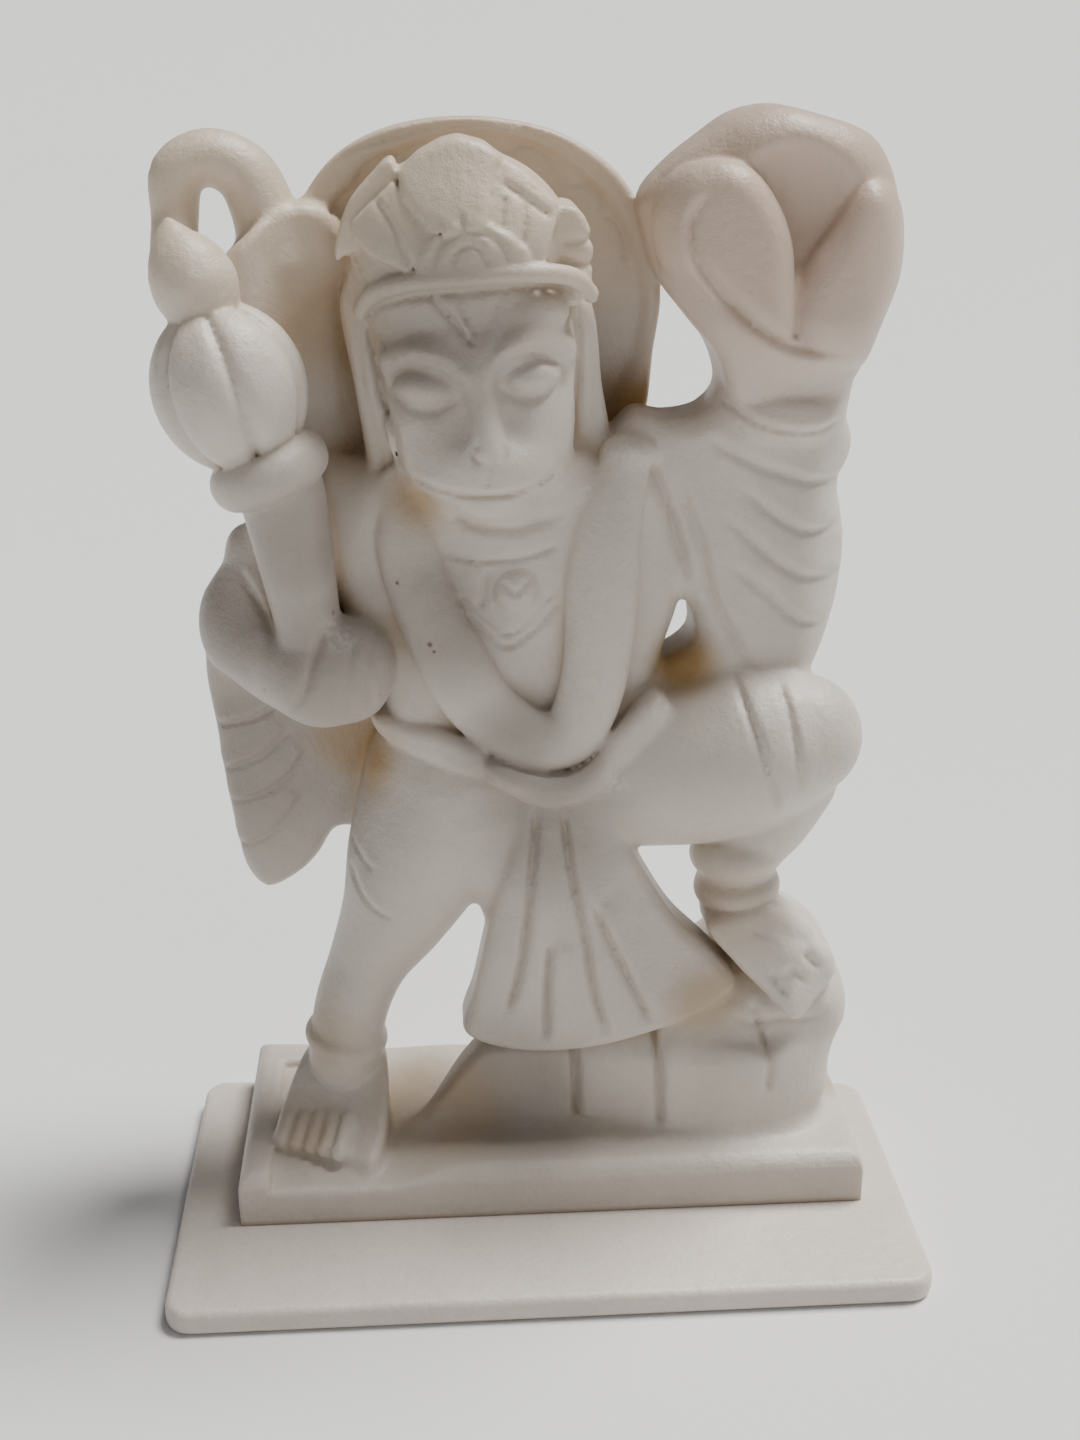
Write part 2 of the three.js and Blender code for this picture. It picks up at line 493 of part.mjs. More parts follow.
function carveSkirt(clay) {
  const front = (x, z) => -12 - 5 * ramp(68, 20, z) + 0.0035 * (x - 9) ** 2;
  clay.add(sheet([[-2, 70], [-6, 58], [-9.5, 44], [-12.5, 31], [-14.4, 23], [-7, 19.8], [6, 19.6],
    [19.5, 22.4], [31, 26.4], [35.3, 30.4], [30.5, 37.5], [23.4, 45], [15.8, 58], [10, 70]],
  front, (x, z) => front(x, z) + 10, { round: 2.4 }), 1.5);
  const pleats = [
    [[-0.9, 68], [-2.4, 49.7], [-4.7, 34.6], [-7.2, 27]],
    [[1.1, 42], [0.5, 33.3], [0.3, 22]],
    [[3.3, 68], [4.8, 55.5], [7.2, 43], [8.8, 32.7], [11.8, 22]],
    [[9, 49], [10.1, 45.4], [13.9, 36.8], [19.3, 25]],
  ];
  for (const pleat of pleats) {
    stroke(clay, pleat, { width: 2.6, depth: 0.5, back: -6, lap: 5, taper: 0.12 });
  }
}

function carveGarland(clay) {
  clay.add(limb([[-22.6, -4.4, 122, 4.2], [-22, -7.4, 113, 5.2], [-20.6, -8.4, 107, 5.4],
    [-17.9, -9, 100, 5.8], [-14.4, -9.6, 92, 6], [-9.6, -10.4, 84.6, 5.7], [-1, -11.2, 79, 5.5],
    [4.6, -11.2, 80, 5.4], [7.2, -11, 84.4, 5.5], [9, -10.6, 91.2, 5.7], [9.8, -10, 98.6, 6],
    [10.2, -9.2, 107, 6.2], [11, -8, 116, 5.6], [13.4, -6.4, 124, 4.4]], { depth: 0.62 }), 0.4);
  clay.add(blob([14.8, -4.4, 127.4], [4.8, 4, 3.2]), 1.2);
  clay.add(blob([-4.4, -9.4, 105.4], [3.6, 1.7, 3.8]), 0.5);
  stroke(clay, [[-14.9, 105], [-9.3, 100.5], [-5.7, 97.6], [-1.6, 100.6], [3, 106]],
    { width: 2.8, depth: 0.7 });
}

function carveFigure() {
  const clay = new Clay([-66, -25.5, -8], [66, 25.5, 184], clayCell);
  for (const carve of [carveRock, carveRightLeg, carveTorso, carveLeftLeg, carveLeftFoot, carveCape,
    carveHalo, carveTail, carveShawl, carveArmWithMountain, carveArmWithMace, carveHead, carveCrown,
    carveBelt, carveSkirt, carveGarland]) {
    carve(clay);
  }
  clay.level(-sunkInBlock);
  return clay;
}

// Skin: one vertex in every cell that the surface crosses, one quadrilateral on every edge it crosses

const cellCorners = Array.from({ length: 8 }, (_, n) => [n & 1, (n >> 1) & 1, n >> 2]);
const cellEdges = cellCorners.flatMap((_, a) => (
  [1, 2, 4].filter((bit) => !(a & bit)).map((bit) => [a, a | bit])
));

function joinedAlongEdges(corners) {
  const reached = new Set(corners.slice(0, 1));
  for (const a of reached) {
    for (const bit of [1, 2, 4]) {
      if (corners.includes(a ^ bit)) reached.add(a ^ bit);
    }
  }
  return reached.size === corners.length;
}

// Cells where the solid and the air are each in one piece, so that the skin stays a single sheet
const plainCell = Array.from({ length: 256 }, (_, mask) => {
  const corners = cellCorners.map((_corner, n) => n);
  return joinedAlongEdges(corners.filter((n) => mask & (1 << n)))
    && joinedAlongEdges(corners.filter((n) => !(mask & (1 << n))));
});

function skinOf({ counts, field, low, cell }) {
  const [nx, ny, nz] = counts;
  const offsets = cellCorners.map(([i, j, k]) => (k * ny + j) * nx + i);
  const maskAt = (base) => (
    offsets.reduce((mask, offset, n) => (field[base + offset] < 0 ? mask | (1 << n) : mask), 0)
  );
  const crossed = (work) => {
    for (let k = 0; k < nz - 1; k += 1) {
      for (let j = 0; j < ny - 1; j += 1) {
        for (let i = 0; i < nx - 1; i += 1) {
          const base = (k * ny + j) * nx + i;
          const mask = maskAt(base);
          if (mask !== 0 && mask !== 255) work(base, mask, i, j, k);
        }
      }
    }
  };
  let mended = 1;
  for (let pass = 0; pass < 12 && mended > 0; pass += 1) {
    mended = 0;
    crossed((base, mask) => {
      if (plainCell[mask]) return;
      const open = offsets.filter((_, n) => !(mask & (1 << n)));
      const nearest = open.reduce((a, b) => (field[base + a] < field[base + b] ? a : b));
      field[base + nearest] = -0.05 * cell;
      mended += 1;
    });
  }
  const vertexOf = new Map();
  const points = [];
  crossed((base, mask, i, j, k) => {
    const crossings = cellEdges.filter(([a, b]) => ((mask >> a) & 1) !== ((mask >> b) & 1)).map(([a, b]) => {
      const fa = field[base + offsets[a]];
      const fb = field[base + offsets[b]];
      return mix(cellCorners[a], cellCorners[b], fa / (fa - fb));
    });
    const middle = [0, 1, 2].map((axis) => crossings.reduce((sum, p) => sum + p[axis], 0) / crossings.length);
    vertexOf.set(base, points.length);
    points.push([i, j, k].map((value, axis) => low[axis] + cell * (value + middle[axis])));
  });
  const strides = [1, nx, nx * ny];
  const faces = [];
  for (const base of vertexOf.keys()) {
    for (let axis = 0; axis < 3; axis += 1) {
      const inside = field[base] < 0;
      if (inside === (field[base + strides[axis]] < 0)) continue;
      const u = strides[(axis + 1) % 3];
      const v = strides[(axis + 2) % 3];
      const quad = [base - u - v, base - v, base, base - u].map((cellBase) => vertexOf.get(cellBase));
      if (!inside) quad.reverse();
      faces.push([quad[0], quad[1], quad[2]], [quad[0], quad[2], quad[3]]);
    }
  }
  return { points, faces };
}

// Keeps the faces of the largest connected shell
function largestShell({ points, faces }) {
  const parent = points.map((_, n) => n);
  const root = (n) => {
    let top = n;
    while (parent[top] !== top) {
      parent[top] = parent[parent[top]];
      top = parent[top];
    }
    return top;
  };
  for (const [a, b, c] of faces) {
    parent[root(b)] = root(a);
    parent[root(c)] = root(a);
  }
  const sizes = new Map();
  for (const [a] of faces) sizes.set(root(a), (sizes.get(root(a)) ?? 0) + 1);
  const largest = [...sizes].reduce((best, entry) => (entry[1] > best[1] ? entry : best))[0];
  return { points, faces: faces.filter(([a]) => root(a) === largest) };
}

// Thinning: the edge whose loss moves the surface least is drawn together first

class Heap {
  constructor() {
    this.items = [];
  }

  push(item) {
    const { items } = this;
    let n = items.push(item) - 1;
    while (n > 0) {
      const up = (n - 1) >> 1;
      if (items[up].cost <= item.cost) break;
      items[n] = items[up];
      n = up;
    }
    items[n] = item;
  }

  pop() {
    const { items } = this;
    const top = items[0];
    const last = items.pop();
    if (items.length === 0) return top;
    let n = 0;
    for (;;) {
      let down = 2 * n + 1;
      if (down >= items.length) break;
      if (down + 1 < items.length && items[down + 1].cost < items[down].cost) down += 1;
      if (items[down].cost >= last.cost) break;
      items[n] = items[down];
      n = down;
    }
    items[n] = last;
    return top;
  }
}

function faceNormal(a, b, c) {
  const u = [b[0] - a[0], b[1] - a[1], b[2] - a[2]];
  const v = [c[0] - a[0], c[1] - a[1], c[2] - a[2]];
  return [u[1] * v[2] - u[2] * v[1], u[2] * v[0] - u[0] * v[2], u[0] * v[1] - u[1] * v[0]];
}

// Sum of squared distances to planes, as the ten numbers of a symmetric matrix
function planeSum(normal, point) {
  const size = Math.hypot(...normal);
  if (size < 1e-12) return new Float64Array(10);
  const [a, b, c] = normal.map((value) => value / size);
  const d = -(a * point[0] + b * point[1] + c * point[2]);
  const terms = [a * a, a * b, a * c, a * d, b * b, b * c, b * d, c * c, c * d, d * d];
  return Float64Array.from(terms, (term) => term * size);
}

function errorAt(q, [x, y, z]) {
  return q[0] * x * x + 2 * q[1] * x * y + 2 * q[2] * x * z + 2 * q[3] * x + q[4] * y * y
    + 2 * q[5] * y * z + 2 * q[6] * y + q[7] * z * z + 2 * q[8] * z + q[9];
}

function bestPoint(q, a, b) {
  const middle = mix(a, b, 0.5);
  const matrix = new THREE.Matrix3(q[0], q[1], q[2], q[1], q[4], q[5], q[2], q[5], q[7]);
  const size = q[0] + q[4] + q[7];
  if (Math.abs(matrix.determinant()) < 1e-4 * size ** 3) return middle;
  const best = new THREE.Vector3(-q[3], -q[6], -q[8]).applyMatrix3(matrix.invert()).toArray();
  const strayed = Math.hypot(best[0] - middle[0], best[1] - middle[1], best[2] - middle[2]);
  const edge = Math.hypot(a[0] - b[0], a[1] - b[1], a[2] - b[2]);
  return strayed < 2 * edge ? best : middle;
}

// How closely the thinned skin keeps to the carved one here: least on the plain back, most on the face
function care([x, y, z]) {
  const onFace = ramp(26, 16, Math.hypot(x + 10, z - 145)) * ramp(-2, -6, y);
  return 0.12 + 0.88 * ramp(9, 1, y) + 1.5 * onFace + 0.8 * ramp(8, 3, z);
}

function thin({ points, faces }, wanted) {
  const around = points.map(() => new Set());
  const planes = points.map(() => new Float64Array(10));
  const stamp = new Int32Array(points.length);
  faces.forEach((face, n) => {
    const sum = planeSum(faceNormal(...face.map((v) => points[v])), points[face[0]]);
    const weight = care(points[face[0]]);
    for (const v of face) {
      around[v].add(n);
      for (let term = 0; term < 10; term += 1) planes[v][term] += weight * sum[term];
    }
  });
  const heap = new Heap();
  const offer = (a, b) => {
    const sum = planes[a].map((value, term) => value + planes[b][term]);
    const place = bestPoint(sum, points[a], points[b]);
    const edge2 = points[a].reduce((total, value, axis) => total + (value - points[b][axis]) ** 2, 0);
    heap.push({ cost: errorAt(sum, place) + 1e-5 * edge2, a, b, place, stamps: stamp[a] + stamp[b] });
  };
  const neighbours = (v) => new Set([...around[v]].flatMap((n) => faces[n]).filter((other) => other !== v));
  const keepsFacing = (v, other, place) => [...around[v]].every((n) => {
    if (faces[n].includes(other)) return true;
    const before = faceNormal(...faces[n].map((corner) => points[corner]));
    const after = faceNormal(...faces[n].map((corner) => (corner === v ? place : points[corner])));
    const turn = before[0] * after[0] + before[1] * after[1] + before[2] * after[2];
    return turn > 0.25 * Math.hypot(...before) * Math.hypot(...after) && Math.hypot(...after) > 1e-3;
  });
  faces.forEach((face) => face.forEach((a, n) => {
    if (a < face[(n + 1) % 3]) offer(a, face[(n + 1) % 3]);
  }));
  let left = faces.length;
  while (left > wanted && heap.items.length > 0) {
    const { a, b, place, stamps } = heap.pop();
    if (stamp[a] < 0 || stamp[b] < 0 || stamps !== stamp[a] + stamp[b]) continue;
    const aroundA = neighbours(a);
    const shared = [...neighbours(b)].filter((v) => aroundA.has(v));
    if (shared.length !== 2 || !keepsFacing(a, b, place) || !keepsFacing(b, a, place)) continue;
    points[a] = place;
    for (let term = 0; term < 10; term += 1) planes[a][term] += planes[b][term];
    for (const n of around[b]) {
      if (faces[n].includes(a)) {
        faces[n].forEach((v) => v !== b && around[v].delete(n));
        faces[n] = null;
        left -= 1;
      } else {
        faces[n] = faces[n].map((v) => (v === b ? a : v));
        around[a].add(n);
      }
    }
    stamp[b] = -1;
    stamp[a] += 1;
    for (const v of neighbours(a)) offer(a, v);
  }
  return { points, faces: faces.filter((face) => face !== null) };
}

// Solids

function plainGeometry(geometry) {
  geometry.deleteAttribute('uv');
  geometry.deleteAttribute('normal');
  return mergeVertices(geometry, 1e-4);
}

function carvedGeometry() {
  const { points, faces } = thin(largestShell(skinOf(carveFigure())), carvedTriangles);
  const used = new Map();
  const positions = [];
  const indices = faces.flat().map((v) => {
    if (!used.has(v)) {
      used.set(v, used.size);
      positions.push(...points[v].map((value) => value * share));
    }
    return used.get(v);
  });
  const geometry = new THREE.BufferGeometry();
  geometry.setAttribute('position', new THREE.Float32BufferAttribute(positions, 3));
  geometry.setIndex(indices);
  return geometry;
}

// A slab with rounded upright corners and small rounded edges above and below
function slabGeometry(corners, radii, thickness, edge) {
  const shape = new THREE.Shape();
  corners.forEach(([x, y], n) => {
    const corner = new THREE.Vector2(x, y);
    const [before, after] = [corners.length - 1, 1].map((step) => (
      new THREE.Vector2(...corners[(n + step) % corners.length]).sub(corner).normalize()
    ));
    const half = Math.acos(before.dot(after)) / 2;
    const centre = before.clone().add(after).setLength(radii[n] / Math.sin(half)).add(corner);
    const start = before.multiplyScalar(radii[n] / Math.tan(half)).add(corner);
    const end = after.multiplyScalar(radii[n] / Math.tan(half)).add(corner);
    const [from, to] = [start, end].map((point) => point.sub(centre).angle());
    shape.absarc(centre.x, centre.y, radii[n], from, to, false);
  });
  shape.closePath();
  return new THREE.ExtrudeGeometry(shape, {
    depth: thickness - 2 * edge,
    bevelThickness: edge,
    bevelSize: edge,
    bevelOffset: -edge,
    bevelSegments: 2,
    curveSegments: 3,
  }).translate(0, 0, edge);
}

const plinthFront = -plinthDepthLeft / 2;
const rearSlope = (plinthDepthRight - plinthDepthLeft) / plinthWidth;
const blockLeft = -plinthWidth / 2 + blockFromLeft;
const blockRight = blockLeft + blockWidth;
const blockFront = plinthFront + blockFromFront;
const rearOfBlock = (x) => plinthFront + plinthDepthLeft - blockFromRear + rearSlope * (x + plinthWidth / 2);
const blockTop = plinthThickness + blockHeight;
const figurePlace = [0, blockFront + figureAxis, blockTop];

function makePlinth() {
  const [left, right] = [-plinthWidth / 2, plinthWidth / 2];
  const corners = [
    [left, plinthFront],
    [right, plinthFront],
    [right, plinthFront + plinthDepthRight],
    [left, plinthFront + plinthDepthLeft],
  ];
  const radii = [plinthCorner, plinthCorner, plinthSharpCorner, plinthCorner];
  return slabGeometry(corners, radii, plinthThickness, plinthEdge);
}

function makeBlock() {
  const corners = [
    [blockLeft, blockFront],
    [blockRight, blockFront],
    [blockRight, rearOfBlock(blockRight)],
    [blockLeft, rearOfBlock(blockLeft)],
  ];
  const radii = corners.map(() => blockCorner);
  return slabGeometry(corners, radii, blockHeight, blockEdge).translate(0, 0, plinthThickness);
}

// Sunk ground round the right foot, open to the front
function makePocket() {
  const left = blockLeft + pocketBorder;
  const right = figurePlace[0] - 24 * share;
  const rear = figurePlace[1] + 12 * share;
  const width = right - left;
  const length = rear - blockFront + blockEdge;
  return new THREE.BoxGeometry(width, length, 2 * pocketDepth)
    .translate((left + right) / 2, rear - length / 2, blockTop);
}

const wasm = await Module();
wasm.setup();

function solidOf(geometry) {
  const plain = plainGeometry(geometry);
  return new wasm.Manifold(new wasm.Mesh({
    numProp: 3,
    vertProperties: new Float32Array(plain.attributes.position.array),
    triVerts: new Uint32Array(plain.index.array),
  }));
}

function geometryOf(solid) {
  const mesh = solid.getMesh();
  const geometry = new THREE.BufferGeometry();
  geometry.setAttribute('position', new THREE.BufferAttribute(mesh.vertProperties, 3));
  geometry.setIndex(new THREE.BufferAttribute(mesh.triVerts, 1));
  geometry.computeVertexNormals();
  return geometry;
}

function makeFigure() {
  const block = solidOf(makeBlock()).subtract(solidOf(makePocket()));
  const carved = solidOf(carvedGeometry().translate(...figurePlace));
  return geometryOf(block.add(carved));
}

function named(name, geometry, look) {
  const mesh = new THREE.Mesh(geometry, new THREE.MeshStandardMaterial(look));
  mesh.name = name;
  return mesh;
}

const object = new THREE.Group();
object.name = 'hanuman_figure_on_plinth';
object.add(named('plinth', plainGeometry(makePlinth()), paleMarble));
object.add(named('figure', makeFigure(), marble));

export default object;
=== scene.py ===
"""A small marble figure of the monkey god on a slab, dressed on its CAD frame."""
import math

import bpy
import numpy as np
from bpy.props import FloatProperty, FloatVectorProperty, PointerProperty
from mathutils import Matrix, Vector


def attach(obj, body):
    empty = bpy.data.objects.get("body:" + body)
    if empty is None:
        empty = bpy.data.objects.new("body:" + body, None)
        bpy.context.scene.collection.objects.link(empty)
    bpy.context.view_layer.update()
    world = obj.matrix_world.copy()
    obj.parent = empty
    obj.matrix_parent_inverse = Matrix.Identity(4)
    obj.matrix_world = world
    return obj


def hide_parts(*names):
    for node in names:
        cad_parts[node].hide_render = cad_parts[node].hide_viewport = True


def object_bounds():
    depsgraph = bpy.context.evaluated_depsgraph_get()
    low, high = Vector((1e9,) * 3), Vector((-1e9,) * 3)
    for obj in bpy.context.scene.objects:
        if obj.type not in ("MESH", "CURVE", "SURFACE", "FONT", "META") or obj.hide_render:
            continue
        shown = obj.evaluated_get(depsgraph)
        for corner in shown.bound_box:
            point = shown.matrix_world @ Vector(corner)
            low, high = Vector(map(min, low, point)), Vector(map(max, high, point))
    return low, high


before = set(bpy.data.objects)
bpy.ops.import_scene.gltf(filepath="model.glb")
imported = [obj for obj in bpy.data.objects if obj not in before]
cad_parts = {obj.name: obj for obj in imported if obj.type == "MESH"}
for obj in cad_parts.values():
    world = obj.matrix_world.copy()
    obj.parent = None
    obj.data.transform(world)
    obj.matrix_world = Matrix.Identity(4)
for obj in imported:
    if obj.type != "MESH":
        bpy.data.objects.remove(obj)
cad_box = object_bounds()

bl_info = {
    "name": "Marble figure",
    "version": (1, 0, 0),
    "blender": (4, 5, 0),
    "location": "View3D > Sidebar > Marble",
    "description": "Carves a small marble figure and its slab and sets them in a plain studio",
    "category": "Object",
}

MM = 0.001
FAR = 1e3

# The figure's own axis and the top of its block, in millimetres from the slab's underside
FIGURE_PLACE = (0.0, 11.0, 15.5)
BLOCK_LEFT, BLOCK_RIGHT = -56.0, 58.8
BLOCK_FRONT = -23.5
BLOCK_REAR_LEFT, BLOCK_REAR_RIGHT = 22.75, 15.06
BLOCK_HEIGHT = 10.5

# The room that the carving is worked out in, and the gap kept inside the CAD box
CLAY_LOW, CLAY_HIGH = (-66, -27, -13), (66, 27, 184)
BOX_GAP = 0.03 * MM

# How far past a form its distances still count, and how many places its faces are tried at
FORM_ROOM = 3.0
FACE_TRIES = 12

# Chisel lines: how steeply a groove falls away, how far a fold stands back beside its edge
# and how many millimetres a line takes to fade out behind
GROOVE_STEEPNESS = 2.2
FOLD_STEP = 0.8
FADE_DEPTH = 2
TOES = 5

# Mending of tangled cells: most rounds, and the share of a cell that is filled up
MENDING_ROUNDS = 12
MENDING_SHARE = 0.05

# Width, in millimetres, of the room looked at for each kind of hollow
HOLLOWS = (("crease", 1.0), ("recess", 3.6))

# Heights in metres where the stone turns warm and where it meets the slab
WARM_FROM, WARM_TO = 0.157, 0.182
JOINT_FROM, JOINT_TO = 0.0052, 0.0064

# Share of a mark's radius that has its full strength
MARK_CORE = 0.2

# The stage, in metres and degrees
GROUND_SIZE = 60
BACKDROP_START = 3
BACKDROP_TILT = 3
CAMERA_TURN = (67.75, 0, -3.7)
CAMERA_NEAREST = 0.01
ROOM_LIGHT = 0.13
LAMPS = (
    ("key", (0.42, 0.15, 1.0), 24, 5.2, (1.0, 0.985, 0.96)),
    ("fill", (0.5, -0.8, 0.9), 40, 0.35, (1.0, 0.99, 0.98)),
)


# Small mathematics

def ramp(start, end, value):
    t = np.clip((value - start) / (end - start), 0, 1)
    return t * t * (3 - 2 * t)


def mix(a, b, t):
    return [p * (1 - t) + q * t for p, q in zip(a, b)]


def soft_min(a, b, blend):
    if blend <= 0:
        return np.minimum(a, b)
    overlap = np.maximum(blend - np.abs(a - b), 0)
    return np.minimum(a, b) - overlap * overlap / (4 * blend)


def turning(turn):
    """The rows that take a place into a form's axes, turned by degrees about x, y and z."""
    cx, cy, cz = (math.cos(math.radians(angle)) for angle in turn)
    sx, sy, sz = (math.sin(math.radians(angle)) for angle in turn)
    about_x = np.array([[1, 0, 0], [0, cx, -sx], [0, sx, cx]])
    about_y = np.array([[cy, 0, sy], [0, 1, 0], [-sy, 0, cy]])
    about_z = np.array([[cz, -sz, 0], [sz, cz, 0], [0, 0, 1]])
    return (about_x @ about_y @ about_z).T.astype(np.float32)


def smooth_path(points, closed=False, spacing=1.5):
    """Points on a centripetal Catmull-Rom curve through these, with their radii if any."""
    points = np.array(points, dtype=float)
    if len(points) < 3:
        return points
    if closed:
        chain = np.vstack([points[-1:], points, points[:2]])
    else:
        chain = np.vstack([2 * points[:1] - points[1:2], points, 2 * points[-1:] - points[-2:-1]])
    axes = min(points.shape[1], 3)

    def between(start, end, a, b):
        return ((end - t) * a + (t - start) * b) / (end - start)

    path = []
    for p0, p1, p2, p3 in zip(chain, chain[1:], chain[2:], chain[3:]):
        pairs = ((p0, p1), (p1, p2), (p2, p3))
        gaps = [max(np.linalg.norm((b - a)[:axes]), 1e-6) for a, b in pairs]
        t0, t1, t2, t3 = np.cumsum([0.0] + [gap ** 0.5 for gap in gaps])
        t = np.linspace(t1, t2, max(2, math.ceil(gaps[1] / spacing)), endpoint=False)[:, None]
        a1, a2, a3 = between(t0, t1, p0, p1), between(t1, t2, p1, p2), between(t2, t3, p2, p3)
        b1, b2 = between(t0, t2, a1, a2), between(t1, t3, a2, a3)
        path.append(between(t1, t2, b1, b2))
    if not closed:
        path.append(points[-1:])
    return np.vstack(path)


# Clay: a grid of distances to the stone's surface, less than nought inside

class Clay:
    def __init__(self, low, high, cell):
        self.cell = cell
        self.axes = [np.arange(a, b + cell, cell, dtype=np.float32) for a, b in zip(low, high)]
        self.field = np.full([len(axis) for axis in self.axes], FAR, dtype=np.float32)

    def window(self, low, high):
        limits = zip(self.axes, low, high)
        spans = tuple(slice(*np.searchsorted(axis, ends)) for axis, *ends in limits)
        x, y, z = (axis[span] for axis, span in zip(self.axes, spans))
        return spans, (x[:, None, None], y[None, :, None], z[None, None, :])

    def around(self, form, blend):
        margin = blend + FORM_ROOM
        low, high = form.reach
        return self.window(np.subtract(low, margin), np.add(high, margin))

    def add(self, form, blend=0.0):
        spans, place = self.around(form, blend)
        self.field[spans] = soft_min(self.field[spans], form.distance(*place), blend)

    def cut(self, form, blend=0.0):
        spans, place = self.around(form, blend)
        self.field[spans] = -soft_min(-self.field[spans], form.distance(*place), blend)

    def level(self, height):
        """Takes away all that lies below this height."""
        self.field = np.maximum(self.field, height - self.axes[2][None, None, :])

    def fullness(self, width):
        """How much of the room within about this width of each place is stone."""
        full = np.clip(0.5 - self.field / self.cell, 0, 1).astype(np.float32)
        steps = max(1, round(width / self.cell))
        for _ in range(2):
            for axis in range(3):
                total = np.cumsum(np.moveaxis(full, axis, 0), axis=0, dtype=np.float64)
                before, after = [np.zeros_like(total[:1])] * (steps + 1), [total[-1:]] * steps
                padded = np.concatenate([*before, total, *after])
                span = 2 * steps + 1
                mean = (padded[span:] - padded[:-span]) / span
                full = np.moveaxis(mean, 0, axis).astype(np.float32)
        return full

    def read(self, values, points):
        """A grid's values at these points, between its cells."""
        place = [(points[:, n] - self.axes[n][0]) / self.cell for n in range(3)]
        base = [np.clip(np.floor(p).astype(int), 0, values.shape[n] - 2)
                for n, p in enumerate(place)]
        part = [np.clip(p - b, 0, 1) for p, b in zip(place, base)]
        total = 0
        for i, j, k in np.ndindex(2, 2, 2):
            weight = math.prod(np.abs(1 - n - share) for n, share in zip((i, j, k), part))
            total = total + weight * values[base[0] + i, base[1] + j, base[2] + k]
        return total


class Form:
    def __init__(self, reach, distance, inward=None):
        self.reach = reach
        self.distance = distance
        self.inward = inward


def reach_around(points, margins):
    points = np.atleast_2d(points)
    margins = np.reshape(margins, (-1, 1))
    return (points - margins).min(axis=0), (points + margins).max(axis=0)


def blob(centre, radii, turn=(0, 0, 0)):
    rows = turning(turn)

    def inward(x, y, z):
        away = (x - centre[0], y - centre[1], z - centre[2])
        return [row[0] * away[0] + row[1] * away[1] + row[2] * away[2] for row in rows]

    def distance(x, y, z):
        p = inward(x, y, z)
        near = np.sqrt(sum((v / r) ** 2 for v, r in zip(p, radii)))
        slope = np.sqrt(sum((v / (r * r)) ** 2 for v, r in zip(p, radii)))
        return near * (near - 1) / np.maximum(slope, 1e-6)

    return Form(reach_around(centre, max(radii)), distance, inward)


def melon(centre, radii, turn, ribs, groove, start):
    plain = blob(centre, radii, turn)

    def distance(x, y, z):
        p = plain.inward(x, y, z)
        round_it = np.arctan2(p[0], -p[1]) * ribs / 2 + start
        crease = (1 - np.abs(np.sin(round_it))) ** 3
        away_from_pole = ramp(0.1, 0.6, np.hypot(p[0], p[1]) / radii[0])
        return plain.distance(x, y, z) + groove * crease * away_from_pole

    return Form(plain.reach, distance)


def ring(centre, radius, thick, turn, tall):
    plain = blob(centre, (radius, radius, radius), turn)

    def distance(x, y, z):
        p = plain.inward(x, y, z)
        return np.hypot(np.hypot(p[0], p[1]) - radius, p[2] / tall) - thick

    return Form(reach_around(centre, radius + thick * tall), distance)


def limb(points, depth=1.0):
    """A round limb through points (x, y, z, radius); depth is its thickness against its width."""
    path = smooth_path(points)

    def distance(x, y, z):
        best = FAR
        for a, b in zip(path[:-1], path[1:]):
            along = (b - a)[:3] / (1, depth, 1)
            ax, ay, az = x - a[0], (y - a[1]) / depth, z - a[2]
            ahead = ax * along[0] + ay * along[1] + az * along[2]
            t = np.clip(ahead / (along @ along + 1e-9), 0, 1)
            gap = np.sqrt(sum((v - step * t) ** 2 for v, step in zip((ax, ay, az), along)))
            best = np.minimum(best, gap - a[3] - (b[3] - a[3]) * t)
        return best * min(depth, 1)

    return Form(reach_around(path[:, :3], path[:, 3]), distance)


def outline_distance(outline, u, v):
    best = FAR * FAR
    inside = False
    for (au, av), (bu, bv) in zip(outline, np.roll(outline, -1, axis=0)):
        eu, ev = bu - au, bv - av
        t = np.clip(((u - au) * eu + (v - av) * ev) / (eu * eu + ev * ev + 1e-12), 0, 1)
        best = np.minimum(best, (u - au - eu * t) ** 2 + (v - av - ev * t) ** 2)
        if av != bv:
            inside = inside ^ (((av > v) != (bv > v)) & (u < au + (v - av) / (bv - av) * eu))
    return np.where(inside, -1, 1) * np.sqrt(best)


def face_of(face, u, v):
    return face(u, v) if callable(face) else face + 0 * (u + v)


def sheet(points, near, far, round_edge=1.0, upright=False, sharp=False):
    """A sheet of stone: an outline seen from the front, or from above, between two faces."""
    outline = np.array(points, dtype=float) if sharp else smooth_path(points, True, 2)

    def distance(x, y, z):
        u, v, w = (x, y, z) if upright else (x, z, y)
        rim = outline_distance(outline, u, v) + round_edge
        wall = np.maximum(face_of(near, u, v) - w, w - face_of(far, u, v)) + round_edge
        outside = np.sqrt(np.maximum(rim, 0) ** 2 + np.maximum(wall, 0) ** 2)
        return outside + np.minimum(np.maximum(rim, wall), 0) - round_edge

    low, high = outline.min(axis=0), outline.max(axis=0)
    u, v = np.meshgrid(*(np.linspace(a, b, FACE_TRIES) for a, b in zip(low, high)))
    nearest, farthest = face_of(near, u, v).min(), face_of(far, u, v).max()
    ends = [(low[0], low[1], nearest), (high[0], high[1], farthest)]
    if not upright:
        ends = [(u_end, w_end, v_end) for u_end, v_end, w_end in ends]
    return Form(ends, distance)


